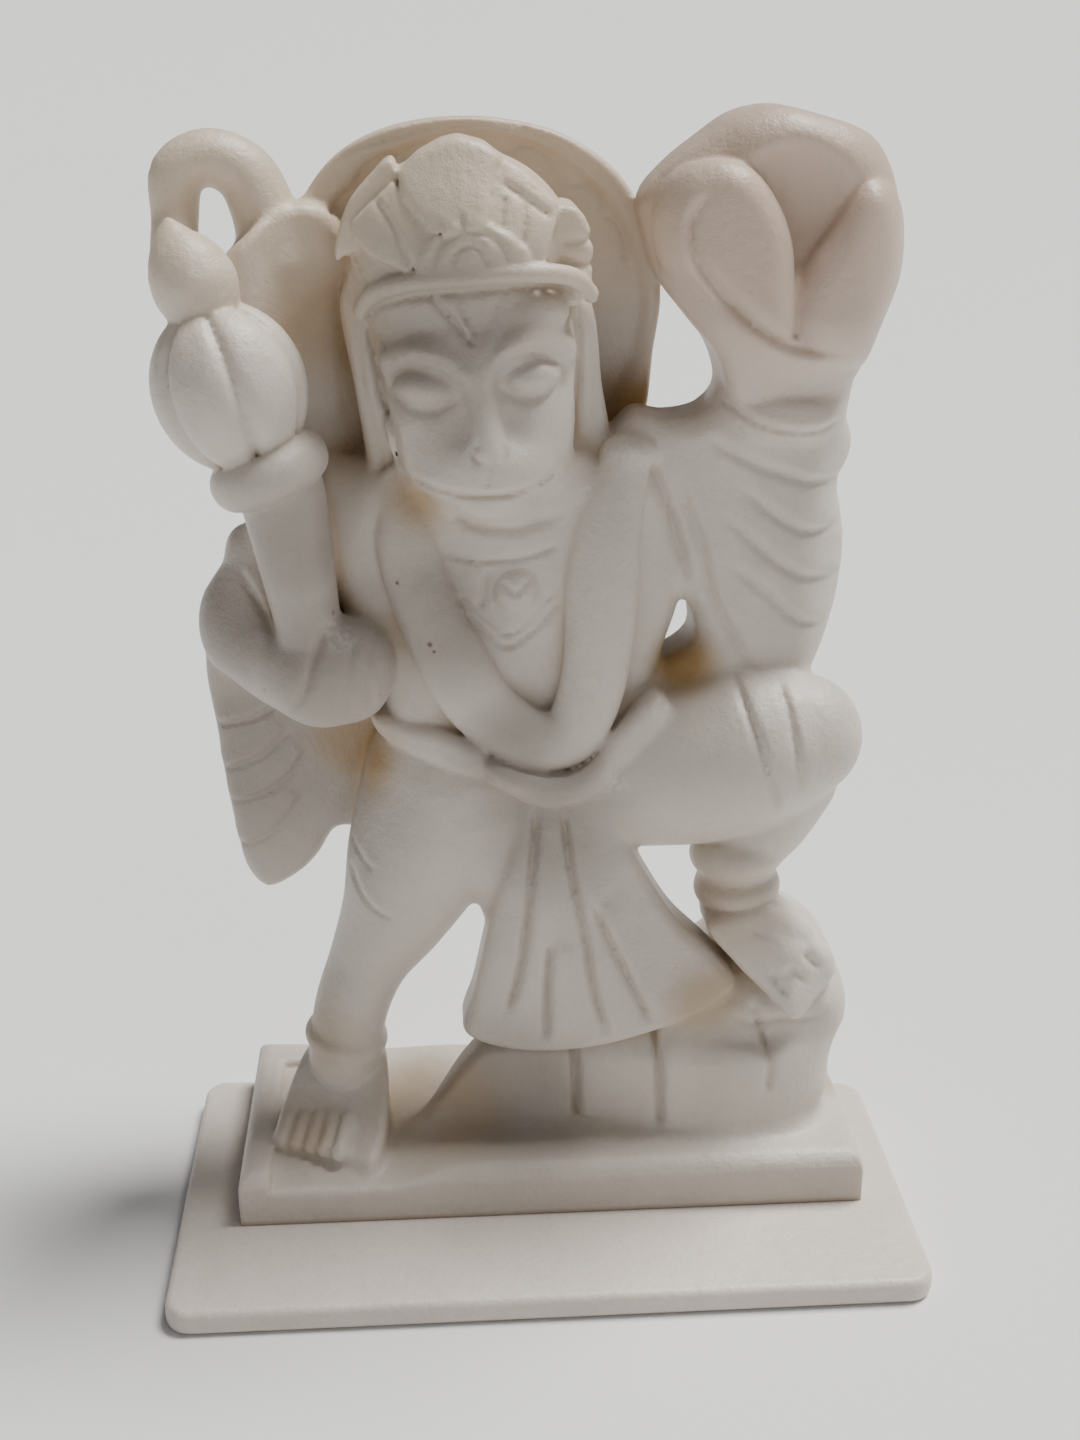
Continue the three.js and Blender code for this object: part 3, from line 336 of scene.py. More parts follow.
def stroke(clay, points, width, depth, back=0.0, lap=0.0, taper=0.15, front=-FAR):
    """A chisel line drawn on the front, cut in or, with a lap, the edge of a fold on its left."""
    path = smooth_path(points, False, 1.0)[:, :2]
    reach = max(width, lap)
    low, high = path.min(axis=0) - reach, path.max(axis=0) + reach
    spans, (x, y, z) = clay.window((low[0], front, low[1]), (high[0], back, high[1]))
    best = np.full(np.broadcast(x, z).shape, FAR * FAR, dtype=np.float32)
    side = np.zeros_like(best)
    along = np.zeros_like(best)
    for n, ((au, av), (bu, bv)) in enumerate(zip(path[:-1], path[1:])):
        eu, ev = bu - au, bv - av
        du, dv = x - au, z - av
        t = np.clip((du * eu + dv * ev) / (eu * eu + ev * ev + 1e-12), 0, 1)
        gap = (du - eu * t) ** 2 + (dv - ev * t) ** 2
        nearer = gap < best
        best = np.where(nearer, gap, best)
        side = np.where(nearer, eu * dv - ev * du, side)
        along = np.where(nearer, (n + t) / (len(path) - 1), along)
    away = np.sqrt(best)
    ends = np.minimum(1, np.minimum(along, 1 - along) / max(taper, 1e-3))
    profile = np.exp(-GROOVE_STEEPNESS * (2 * away / width) ** 2)
    if lap > 0:
        fold = FOLD_STEP * (1 - ramp(0, lap, away)) * ramp(0, width, away)
        profile -= np.where(side > 0, fold, 0)
    fade = np.clip((back - y) / FADE_DEPTH, 0, 1)
    clay.field[spans] += (depth * ends * np.where(away < reach, profile, 0)) * fade


def strokes(clay, lines, **chisel):
    """The same chisel line along each of these paths."""
    for line in lines:
        stroke(clay, line, **chisel)


# Carving of the figure: x from the middle, y from the axis, z from the top of the block

def carve_block(clay):
    def pocket_floor(x, y):
        return 1.2 - (2.8 + 1.8 * ramp(-15, -24, y)) * ramp(-10, -30, x)

    corners = [
        (BLOCK_LEFT, BLOCK_FRONT), (BLOCK_RIGHT, BLOCK_FRONT), (BLOCK_RIGHT, BLOCK_REAR_RIGHT),
        (BLOCK_LEFT, BLOCK_REAR_LEFT),
    ]
    clay.add(sheet(corners, -BLOCK_HEIGHT - 5, 0, round_edge=3.2, upright=True, sharp=True))
    pocket = [(-50.2, -32), (-8, -32), (-8, 40), (-34, 40), (-34, 14), (-50.2, 14)]
    clay.cut(sheet(pocket, pocket_floor, 6, round_edge=0.4, upright=True, sharp=True), 1.2)


def carve_rock(clay):
    clay.add(sheet([
        (-25, -7), (-16, -9.5), (-6, -10), (8, -11.5), (22, -15.2), (36, -17.4), (49, -14),
        (54.6, -4), (54.8, 6), (50, 12), (30, 15), (4, 14), (-7, 8), (-10, -1), (-17, -2),
    ], -6, lambda x, y: 18 * ramp(-26, -8, x), round_edge=3, upright=True), 4)
    clay.add(blob((22, 0, 13), (26, 14, 15)), 4)
    clay.add(sheet([
        (47, 40), (51, 37), (54.2, 32.6), (56.8, 26), (57, 20), (55, 15), (54, 11), (54, 5),
        (30, 2), (20, 10), (22, 24), (29, 31), (36, 38), (41, 41),
    ], lambda x, z: -13 + 9 * ramp(24, 40, z), lambda x, z: 14 - 5 * ramp(20, 42, z),
        round_edge=6), 4)
    clay.cut(blob((61, -5, 7.5), (5, 12, 4.5)), 3)
    strokes(clay, [
        [(5.6, 21), (6.1, 8.4), (6.3, 2)],
        [(20.2, 27), (21.2, 11.7), (21.7, 2)],
    ], width=1.9, depth=1.2, back=-6, lap=8, taper=0.06)
    stroke(clay, [(38, 27), (40.4, 20.3), (41.7, 14), (41.2, 9)],
           width=2.2, depth=1.0, back=-6, taper=0.12)
    stroke(clay, [(34.2, 24.6), (39, 22), (43, 23), (49, 22.8), (53, 24.2)],
           width=1.8, depth=0.5, back=-4)


def carve_toes(clay, roots, tips, radii):
    """Five toes in a row between the lines of their roots and of their tips."""
    for toe in range(TOES):
        place = toe / (TOES - 1)
        radius = radii[0] + (radii[1] - radii[0]) * float(ramp(0.5, 1, place))
        clay.add(limb([(*mix(*roots, place), radius), (*mix(*tips, place), radius)]), 0.7)
    for n in range(TOES - 1):
        share = (n + 0.5) / (TOES - 1)
        gap = [mix(*ends, share) for ends in (roots, tips)]
        clay.cut(limb([(x, y - 0.4, z + 1.5, 0.6) for x, y, z in gap]), 0.3)


def carve_right_leg(clay):
    clay.add(limb([
        (-17, 2, 66, 14.2), (-21, 0, 55, 13.4), (-25.8, -1, 43, 10.2), (-31.4, -1, 32, 7.5),
        (-35, -2, 23, 6.9), (-36.8, -2.5, 13, 6.8),
    ], depth=1.05), 4)
    clay.add(limb([(-9.6, -4, 62, 8), (-7.4, -6, 45, 3.4)]), 3)
    clay.add(sheet([
        (-50, -12.6), (-43, -15.4), (-36, -18.4), (-31.4, -20), (-29, -12), (-28.8, -4), (-31, 5),
        (-41, 5), (-46.5, -3),
    ], -6, lambda x, y: 1 + 11.2 * ramp(-17, 1, y + 0.25 * (x + 40)), round_edge=1.6,
        upright=True), 1.6)
    carve_toes(clay, roots=((-47.2, -8.6, 3), (-36.6, -11.6, 3.2)),
               tips=((-48.6, -13, 0.6), (-37.8, -17.6, 1)), radii=(1.5, 1.9))
    clay.add(ring((-36.4, -2.4, 16.4), 6.6, 1.2, (4, 10, 0), 1.2), 1.2)
    stroke(clay, [(-33.8, 54.1), (-32.5, 50.3), (-30, 47.3), (-26, 45.5)],
           width=1.5, depth=0.6, lap=4)
    stroke(clay, [(-33.8, 58.5), (-31.1, 55.8), (-29.3, 54.9)], width=1.5, depth=0.5, lap=4)


def carve_torso(clay):
    clay.add(blob((-2, 3, 68), (26, 13, 14)), 5)
    clay.add(sheet([
        (-28, 70), (-26.5, 80), (-28, 90), (-34.5, 100), (-37.5, 112), (-30, 122.5), (-10, 127),
        (12, 126), (20.5, 123), (22.6, 114.5), (24.2, 101.6), (21.7, 92.8), (20, 85), (20, 70),
    ], lambda x, z: -9.4 + 0.005 * (x + 4) ** 2, 15.5, round_edge=5), 4)
    clay.add(limb([(-35, 4, 113, 9), (-12, 5, 118, 11), (12, 4, 117, 9)], depth=0.9), 5)
    clay.add(limb([(-8, 0, 122, 10), (-7, 2, 113, 11)]), 3)


def carve_left_leg(clay):
    clay.add(limb([
        (44.5, -5, 68, 8.5), (41.5, -4.5, 61, 7.8), (36.4, -4.5, 54, 7.4), (36, -4.5, 43, 6.6),
    ]), 3)
    clay.add(limb([
        (2, 3, 67, 14), (16, -1, 69.4, 14.6), (30, -4, 72, 15.2), (40, -6, 75.5, 13.8),
        (45.2, -7, 77, 11.2),
    ], depth=0.92), 1)
    clay.add(ring((35.6, -5, 54), 5.2, 3.3, (0, -6, 0), 1.05), 0.8)
    clay.add(ring((36, -5, 47), 5, 2.9, (0, -6, 0), 1.05), 0.8)
    stroke(clay, [(33, 90), (34.6, 84.5), (38, 75), (40.3, 66)],
           width=1.8, depth=0.7, back=2, lap=6)
    stroke(clay, [(40.5, 89), (42, 82), (44.4, 70)], width=1.8, depth=0.55, back=2, lap=5)


def carve_left_foot(clay):
    clay.add(limb([
        (35.6, -5, 46, 6.2), (39.2, -8.6, 41, 6), (43.8, -11.6, 36.5, 5),
    ], depth=0.9), 0.8)
    clay.add(sheet([
        (29.5, 43), (34.3, 36), (40, 30), (46.2, 24), (50.2, 27), (54.2, 31.4), (53.4, 35),
        (48.7, 41), (42, 46), (36, 46),
    ], lambda x, z: -16.6 + 0.42 * np.maximum(x - 45, 0) + 0.17 * (z - 27), -4, round_edge=2), 0.3)
    strokes(clay, [
        [(40.8, 34.6), (44.2, 29)],
        [(43.8, 36.4), (47.8, 31)],
        [(46.4, 38), (50.8, 33)],
        [(48.8, 40), (52.8, 35.4)],
    ], width=1.6, depth=0.9, back=-4, taper=0.25)
    stroke(clay, [(37.4, 42.4), (42.4, 39.2)], width=1.4, depth=0.4, back=-6)


def carve_cape(clay):
    clay.add(sheet([
        (-57.8, 92), (-57.2, 75), (-55.5, 55), (-53.8, 46), (-50.5, 42.3), (-44.5, 45), (-40.6, 49),
        (-37, 54.5), (-31, 55), (-26, 62), (-26, 100), (-48, 106),
    ], lambda x, z: 4 + 3 * ramp(80, 45, z), 16, round_edge=2.5), 2)
    strokes(clay, [
        [(-57, 77), (-51.3, 78), (-46.3, 80.5)],
        [(-56.4, 67.8), (-49.3, 70.9), (-44.2, 76.1)],
        [(-56, 61), (-49.9, 62.8), (-44.7, 66.8), (-41, 72)],
        [(-55, 51.6), (-48.7, 54.5), (-42.5, 62.2)],
    ], width=1.7, depth=0.55, back=12, lap=6, taper=0.06)


def carve_halo(clay):
    clay.add(sheet([
        (-50.5, 157.5), (-47, 161), (-41, 165.4), (-34, 165), (-26, 150), (-22, 126), (-30, 110),
        (-40, 112), (-44, 130), (-52, 144),
    ], lambda x, z: 6 - 6 * ramp(-38, -48, x) + 3 * ramp(-40, -26, x), 16, round_edge=2), 3)

    def dish(x, z):
        return 12 + 1.4 * ramp(0.96, 0.88, np.hypot(x + 9.7, z - 148) / 31)

    clay.add(sheet([
        (-40.8, 150), (-39.4, 162.6), (-33.4, 171.8), (-24.2, 176.9), (-9.7, 178.7), (4.7, 176),
        (14.2, 169.8), (19.1, 161.5), (21.6, 151), (20.6, 141), (18.4, 127), (8, 116), (-24, 116),
        (-34, 124), (-39, 136),
    ], dish, 18.5, round_edge=1.2), 1.5)
    strokes(clay, [
        [(-7, 171.5), (-4, 173.4), (-1.1, 174.5), (2.2, 172.9), (3.6, 169.6)],
        [(3.6, 169.6), (6.1, 167.9), (8.5, 168.3), (11, 166.4), (11.6, 163)],
        [(11.6, 163), (13.4, 162.8), (15.4, 159.6), (15.4, 155.5)],
        [(-21, 171.6), (-24, 172.9), (-27.6, 170.8), (-29.6, 167.4)],
        [(-29.6, 167.4), (-32, 166.2), (-33.8, 162.4), (-33.8, 158)],
        [(-34.8, 169.4), (-28.9, 173.5), (-20.2, 176.2), (-11.6, 177.5), (-3.5, 177.2),
         (1.7, 175.6), (8.5, 171.5), (13.9, 166.4)],
    ], width=1.4, depth=0.55, back=20, taper=0.1, front=9)


def carve_tail(clay):
    clay.add(limb([
        (-58.2, 5, 157, 3.9), (-58.1, 9, 163.5, 3.8), (-57.2, 10, 170.4, 4.4),
        (-52.3, 10.5, 172.8, 4.5), (-46.9, 11, 170.4, 4.9), (-44, 11, 164.5, 5.3),
        (-42.5, 11, 157, 6),
    ], depth=1.15), 1)
    clay.add(limb([
        (-42.5, 12, 156, 5), (-38.5, 14, 142, 4.4), (-35, 15.4, 122, 4), (-31, 16, 98, 4),
        (-20, 16, 78, 4), (-5, 14, 67, 4.4),
    ]), 2)


def carve_arm_with_mountain(clay):
    clay.add(sheet([
        (31, 132), (30, 138), (28.2, 143.6), (24, 148.8), (20, 154), (17.6, 160.5), (16.6, 167),
        (20.5, 172), (26, 176.3), (31, 179.6), (37.4, 180.9), (43, 179.8), (52, 176.6),
        (55.6, 172.3), (58.2, 165), (58.6, 158), (56.2, 149), (53.6, 141.5), (50.6, 132),
    ], lambda x, z: -11 + 0.014 * (x - 38) ** 2 + 5 * ramp(152, 132, z),
        lambda x, z: 15 - 4 * ramp(150, 132, z), round_edge=6.5), 2)
    clay.cut(blob((39.5, -17, 165.6), (13.4, 10.4, 13.6), (0, 8, 0)), 1.5)
    clay.add(sheet([
        (19, 158), (17.4, 163.5), (18.4, 168.6), (21, 171.8), (24.6, 173.4), (28.4, 173.6),
        (31.8, 172.4), (35, 169.2), (37.5, 165), (39, 160.6), (39.5, 156), (39.4, 146.6),
        (33, 147.6), (27.6, 151.6), (22, 156),
    ], lambda x, z: -15 + 0.016 * (x - 33) ** 2, 0, round_edge=5), 0.6)
    clay.add(sheet([
        (49.4, 169.8), (44.7, 162.6), (41.2, 157.5), (39.6, 150), (41, 142.6), (47.4, 141),
        (52.5, 141), (55.4, 148.6), (58.2, 155), (58.6, 160.5), (57.4, 166), (55, 169.4),
        (52, 170.6),
    ], lambda x, z: -13 + 0.05 * np.maximum(x - 47, 0) ** 2 + 3 * ramp(150, 140, z), 0,
        round_edge=5), 0.8)
    clay.add(sheet([
        (19, 157), (23.4, 160.4), (27.9, 154.8), (32.9, 151), (37.6, 147.8), (42.3, 146),
        (47.4, 145), (53.4, 144.6), (51.6, 137.6), (40, 135), (31, 136.4), (30, 138.5),
        (28.2, 143.6), (24, 148.8), (20, 154),
    ], lambda x, z: -13.6 + 0.022 * (x - 36) ** 2 + 5.4 * ramp(150, 135, z), 2,
        round_edge=2.2), 0.5)
    stroke(clay, [
        (50, 143.6), (42, 144.8), (38.3, 145.9), (35.4, 147.4), (32.4, 149.5), (29.4, 152.3),
        (26.4, 155.5), (24, 158.8), (22.9, 163.4), (23.4, 166.6), (26, 169.6),
    ], width=2.2, depth=1.0, lap=6, taper=0.12)
    stroke(clay, [(29.6, 136), (33.9, 133.3), (37.7, 131.9), (45.2, 131.2), (49.5, 132.4)],
           width=1.6, depth=0.6, lap=3, taper=0.08)


def carve_shawl(clay):
    clay.add(sheet([
        (8, 124), (12, 129), (16.5, 133), (21, 132.2), (27, 133.3), (31.5, 137), (48, 135.5),
        (52.6, 130), (53.2, 126), (51, 120.5), (52.8, 112), (52, 99), (46.8, 86.5), (38, 81),
        (20, 80), (12, 86), (20.4, 89.2), (24, 90.8), (26.8, 93.5), (26.6, 98), (25.2, 100.8),
        (20, 103), (8, 104),
    ], lambda x, z: -4.5 - 2 * ramp(20, 36, x) + 5 * ramp(44, 54, x), 11, round_edge=4), 2)
    clay.add(ring((40.3, 1.6, 134), 9.4, 1.9, (6, 7, 0), 1.8), 1.4)
    strokes(clay, [
        [(26.5, 130.4), (33.9, 126), (39.6, 123.8), (44.5, 122.3), (53, 122)],
        [(33, 122), (35.6, 119.6), (40, 116), (45.1, 113.7), (53, 114.2)],
        [(30.1, 117.6), (36, 111.7), (41.9, 107.2), (45.6, 105.7), (53, 104.6)],
        [(32, 108.6), (38.8, 102.5), (43.3, 98.7), (50.5, 96)],
        [(21.6, 125.5), (24.6, 118), (26.9, 112.3), (28.7, 104.2), (34.1, 93.6), (38, 88.6)],
        [(17.4, 127), (21, 119), (23.4, 111), (25.6, 104)],
    ], width=2.2, depth=0.8, back=6, lap=8, taper=0.2)


def carve_arm_with_mace(clay):
    clay.add(limb([(-37, 4, 116, 9.5), (-43.5, 5, 107, 8.6), (-48.9, 4, 98, 9.4)], depth=0.9), 4)
    clay.add(limb([(-48.9, 3, 95, 9.2), (-43, -3, 92, 8.6), (-38, -7, 91, 8.6)]), 2)
    clay.add(blob((-50, 6, 109), (3.4, 5, 4.2)), 1.6)
    stroke(clay, [(-51, 108.4), (-48.8, 104.3), (-46.8, 101), (-44.4, 97)],
           width=1.8, depth=0.8, lap=4)
    clay.add(limb([(-38.3, -8.5, 96, 5.2), (-40, -8, 108, 6), (-42, -7.5, 122, 7)]), 0.6)
    clay.add(ring((-43.9, -7.5, 126), 6.8, 3.2, (0, -22, 0), 1.2), 0.4)
    clay.add(melon((-49.4, -7, 139.3), (12.3, 12, 13.6), (0, -16, 0), 6, 1.4, -0.7), 0.3)
    clay.add(limb([
        (-52.4, -6.5, 151, 4.6), (-53.8, -5.5, 155, 6.8), (-56.2, -5, 160, 4),
        (-57.3, -4.5, 164.2, 1),
    ]), 0.5)
    clay.add(blob((-36.4, -7.6, 91.2), (9.4, 7.4, 9.6)), 2)
    clay.add(blob((-31.5, -8, 91.8), (6.6, 6.4, 9)), 2)
    stroke(clay, [(-35.4, 102), (-37.4, 97), (-39.7, 90.4), (-42, 86)], width=2, depth=0.8, back=-6)
    for x in (-31.6, -28.4):
        stroke(clay, [(x + 1, 100.5), (x - 0.8, 93), (x, 85)], width=1.6, depth=0.35, back=-6)


def carve_head(clay):
    clay.add(blob((-9.8, -1, 140.5), (16.2, 12.6, 21.5), (0, -4, 0)), 3)
    for x, z in ((-17.2, 131.6), (-1.6, 132.6)):
        clay.add(blob((x, -6.2, z), (7.6, 6.8, 8)), 3.5)
    clay.add(blob((-9.2, -8.2, 127.2), (12.6, 9, 6.6)), 3)
    clay.add(blob((-9, -6.2, 121.4), (9, 7.4, 4.4)), 1.4)
    clay.add(limb([(-24.6, -7, 143, 1.4), (-19, -11.4, 145, 1.8), (-12.6, -12.6, 141.6, 1.4)]), 2.5)
    clay.add(limb([(-7.6, -12.8, 142.4, 1.4), (-2, -11.8, 147.4, 2.2), (4.2, -7.4, 145, 1.6)]), 2.5)
    clay.add(blob((-1.6, -8, 151), (6, 4.6, 3.6)), 2)
    for x, z, tilt in ((-18.2, 139.4, 6), (-2.2, 141.2, -6)):
        side = -1 if x < -9 else 1
        clay.cut(blob((x - 0.6 * side, -17.3, z - 0.6), (6.6, 6, 4.4), (0, tilt, 0)), 2.2)
        clay.add(blob((x, -8.8, z), (5.5, 4.6, 3.1), (0, tilt, 0)), 0.2)
        lids = [(x - 6, z - 0.6), (x - 3, z + 3), (x + 1.4, z + 3.4), (x + 6, z - 0.4)]
        under = [(x - 6, z - 0.6), (x - 2, z - 3.3), (x + 2, z - 3.2), (x + 6, z - 0.4)]
        stroke(clay, under, width=1.5, depth=0.35, back=-4, taper=0.2)
        stroke(clay, lids, width=1.5, depth=0.5, back=-4, taper=0.2)
        brow_line = ((5.6, 2.4), (1.8, 5), (-3, 4.2), (-6.4, 0.6))
        brow = [(x + out * side, z + up) for out, up in brow_line]
        stroke(clay, brow, width=1.6, depth=0.45, back=-4, taper=0.3)
    clay.cut(blob((-13.9, -17.4, 135), (2.6, 4.6, 5), (0, 10, 0)), 2)
    clay.cut(blob((-4.3, -17.4, 135.8), (2.6, 4.4, 5), (0, -10, 0)), 2)
    clay.add(limb([(-10, -11.6, 146, 2), (-9.5, -12.8, 138, 2.1), (-8.9, -14.4, 132, 2.5)]), 1.4)
    clay.add(blob((-8.8, -14.8, 130.4), (3.6, 2.3, 2)), 0.8)
    for x, lean in ((-11.6, 1.4), (-6, -1.2)):
        stroke(clay, [(x + lean, 131.8), (x, 130.2), (x + lean, 128.6)],
               width=1.4, depth=0.6, back=-8)
    stroke(clay, [
        (-22, 126), (-18.6, 124.2), (-14, 123.2), (-8.6, 122.8), (-2.6, 123.6), (3.4, 126.6),
    ], width=1.8, depth=1.0, back=-2, lap=4, taper=0.08)
    stroke(clay, [(-16.4, 121), (-12, 117.4), (-4.4, 116.2), (4, 118.8)],
           width=3, depth=0.9, back=4, lap=5, taper=0.2)
    stroke(clay, [(-9.2, 129), (-8.9, 124.4)], width=1.6, depth=0.5, back=-4)
    clay.add(sheet([
        (-31.5, 153), (-28, 157), (-23, 152), (-22, 134), (-20, 120), (-28, 117), (-28.5, 126),
        (-30, 138),
    ], -3, 10, round_edge=3), 1)
    clay.add(sheet([
        (3, 154), (8, 152), (10.5, 138), (11.6, 126), (6, 124), (3, 136),
    ], -2, 10, round_edge=2.5), 1)
    stroke(clay, [
        (-27.4, 151), (-26.8, 146), (-26, 141), (-25.4, 137), (-23.9, 133.7), (-23, 128),
        (-21, 123.6),
    ], width=2, depth=1.0, back=0, lap=2.5)
    stroke(clay, [(5.6, 128), (5.9, 135), (6.5, 145), (5.8, 151)],
           width=2, depth=1.0, back=0, lap=2.5)
    stroke(clay, [(-29, 151), (-28.6, 140), (-26.8, 130), (-24.4, 120)],
           width=1.7, depth=0.5, back=3)
    stroke(clay, [(8, 149), (9, 140), (9.2, 130)], width=1.5, depth=0.5, back=3)


def carve_crown(clay):
    clay.add(blob((-12, -0.5, 157.5), (18.2, 12.8, 17.5)), 1)

    def leaf_face(proud):
        return lambda x, z: -13.4 - proud + 0.018 * (x + 11) ** 2 + 7 * ramp(160, 180, z)

    left_leaf = [
        (-29.4, 164.2), (-26.6, 166.9), (-22.5, 170.4), (-21.2, 168.8), (-16.4, 163.6),
        (-18.3, 160.4), (-20.6, 157.3), (-26.4, 159.6), (-28.9, 162),
    ]
    right_leaf = [
        (-6.4, 174.2), (-2.4, 171.8), (2.6, 167.3), (2.2, 164.5), (0.3, 158.4), (-4, 158.8),
        (-8.8, 163.9), (-7.3, 171),
    ]
    middle_leaf = [
        (-21.9, 171.6), (-18.8, 174.5), (-15.2, 176.4), (-12.6, 177), (-8.6, 176), (-6.2, 174.2),
        (-7.4, 171), (-8.8, 163.5), (-12.4, 162), (-16.4, 163), (-21.4, 168.4),
    ]
    leaves = ((left_leaf, 1.3, 0.5), (right_leaf, 0.9, 0.5), (middle_leaf, 2.2, 1.2))
    for leaf, proud, edge in leaves:
        clay.add(sheet(leaf, leaf_face(proud), 2, round_edge=edge, sharp=True), 0.2)
    clay.add(sheet([
        (-19.6, 157), (-18.8, 160.4), (-16.8, 163), (-13.4, 164.8), (-9.6, 165.2), (-5.8, 163.6),
        (-2.4, 161), (-1.6, 157),
    ], leaf_face(1.8), 2, round_edge=0.8), 0.2)
    stroke(clay, [(-6.2, 170.6), (-3.3, 168.6), (1.6, 165.2)],
           width=1.6, depth=0.7, lap=2.6, taper=0.12)
    stroke(clay, [(-25.4, 168), (-22.6, 164), (-20.4, 158.6)],
           width=1.5, depth=0.6, lap=2.4, taper=0.06)
    strokes(clay, [
        [(-5.6, 168.6), (-6.8, 163.6)],
        [(-2.4, 167.6), (-3.4, 161.4)],
        [(-17, 158), (-16, 161.4), (-13.2, 163.2), (-9.8, 163.6), (-6.8, 162), (-5, 158.6)],
        [(-14, 158.4), (-13.4, 160.6), (-11.4, 161.6), (-9.4, 160.8), (-8.6, 158.4)],
        [(-16.4, 165.4), (-15.4, 163)],
        [(-12.6, 166.4), (-12.4, 164)],
    ], width=1.4, depth=0.6, taper=0.1)
    clay.add(sheet([
        (-31.8, 158.5), (-30.2, 166), (-26, 171), (-23, 173.6), (-22, 171.2), (-27, 161),
    ], -6, 6, round_edge=0.8), 0.4)
    clay.add(sheet([
        (2.4, 166.5), (5.5, 166.5), (7.6, 163.5), (8.2, 160), (8, 156), (6.5, 151.5), (2, 153),
    ], -8, 6, round_edge=1.2), 0.4)
    strokes(clay, [
        [(3.6, 161.2), (8.4, 161.8)],
        [(3, 158.6), (8.4, 158)],
    ], width=1.6, depth=0.7, back=2, taper=0.02)
    for x in (-31, -29.2):
        stroke(clay, [(x, 160), (x + 3, 154.4)], width=1.5, depth=0.6, back=2)
    band = [
        (-28, -4, 150.6), (-25.8, -8.2, 153.9), (-20, -12.4, 156.1), (-12, -13.9, 156.9),
        (-3, -13.4, 157.4), (4.5, -9.8, 156.3), (7.8, -5, 153),
    ]
    clay.add(limb([(*place, 1.6) for place in band]), 0.2)
    stroke(clay, [(x, z - 2.3) for x, y, z in band], width=2, depth=0.7, taper=0.06)
    stroke(clay, [(-17.6, 154.2), (-14.9, 151.2), (-10.7, 146.2)],
           width=1.6, depth=0.8, back=-6, lap=2, taper=0.05)
    stroke(clay, [(-12.8, 155), (-12, 151), (-10.6, 147.4)],
           width=1.5, depth=0.6, back=-6, taper=0.05)
    stroke(clay, [(-10.2, 146.2), (-7.7, 151.4), (-5.8, 155)],
           width=1.8, depth=0.35, back=-6, taper=0.05)


def carve_belt(clay):
    clay.add(sheet([
        (-29.4, 82), (-22.8, 81.6), (-14.9, 80.3), (-10.4, 78.7), (-9, 76.4), (-9.6, 73),
        (-17.7, 74.4), (-24.6, 76.4), (-28.4, 78.8),
    ], lambda x, z: -13.4 + 9 * ramp(-10, -36, x), 2, round_edge=2.2), 0.4)
    clay.add(sheet([
        (-10.4, 76.6), (-6.5, 76), (-2.2, 74.4), (4.2, 73.6), (8.5, 75.6), (10.8, 78.6),
        (13.4, 75.6), (12.3, 72.4), (9.6, 69.5), (4.2, 67.8), (-1.7, 68), (-6.5, 70.6), (-10.2, 73),
    ], lambda x, z: -16.2 + 0.012 * (x - 2) ** 2, -4, round_edge=2.6), 0.4)
    clay.add(sheet([
        (10, 77), (14.5, 83), (19.6, 87), (22.4, 84.2), (20.6, 80.2), (13.4, 74),
    ], lambda x, z: -14.4 + 0.12 * (x - 10), -3, round_edge=2.2), 0.5)


def carve_skirt(clay):
    def front(x, z):
        return -12 - 5 * ramp(68, 20, z) + 0.0035 * (x - 9) ** 2

    clay.add(sheet([
        (-2, 70), (-6, 58), (-9.5, 44), (-12.5, 31), (-14.4, 23), (-7, 19.8), (6, 19.6),
        (19.5, 22.4), (31, 26.4), (35.3, 30.4), (30.5, 37.5), (23.4, 45), (15.8, 58), (10, 70),
    ], front, lambda x, z: front(x, z) + 10, round_edge=2.4), 1.5)
    strokes(clay, [
        [(-0.9, 68), (-2.4, 49.7), (-4.7, 34.6), (-7.2, 27)],
        [(1.1, 42), (0.5, 33.3), (0.3, 22)],
        [(3.3, 68), (4.8, 55.5), (7.2, 43), (8.8, 32.7), (11.8, 22)],
        [(9, 49), (10.1, 45.4), (13.9, 36.8), (19.3, 25)],
    ], width=1.9, depth=1.1, back=-6, lap=7, taper=0.12)


def carve_garland(clay):
    clay.add(limb([
        (-22.6, -4.4, 122, 4.2), (-22, -7.4, 113, 5.2), (-20.6, -8.4, 107, 5.4),
        (-17.9, -9, 100, 5.8), (-14.4, -9.6, 92, 6), (-9.6, -10.4, 84.6, 5.7), (-1, -11.2, 79, 5.5),
        (4.6, -11.2, 80, 5.4), (7.2, -11, 84.4, 5.5), (9, -10.6, 91.2, 5.7), (9.8, -10, 98.6, 6),
        (10.2, -9.2, 107, 6.2), (11, -8, 116, 5.6), (13.4, -6.4, 124, 4.4),
    ], depth=0.62), 0.4)
    clay.add(blob((14.8, -4.4, 127.4), (4.8, 4, 3.2)), 1.2)
    clay.add(blob((-4.4, -9.4, 105.4), (3.6, 1.7, 3.8)), 0.5)
    strokes(clay, [
        [(-14.9, 105), (-9.3, 100.5), (-5.7, 97.6), (-1.6, 100.6), (3, 106)],
        [(-13.6, 102.4), (-9.3, 98), (-5.7, 95.6), (-1.6, 98.4), (3.4, 103.6)],
        [(-8.9, 109.5), (-10.3, 102.2)],
        [(-6.6, 107.6), (-4.6, 105.4), (-2, 107.8)],
        [(-16.8, 112.3), (-11.7, 110.8), (-6.1, 110.9), (-1, 111.6), (3.4, 113.4)],
    ], width=1.6, depth=0.65, taper=0.1)


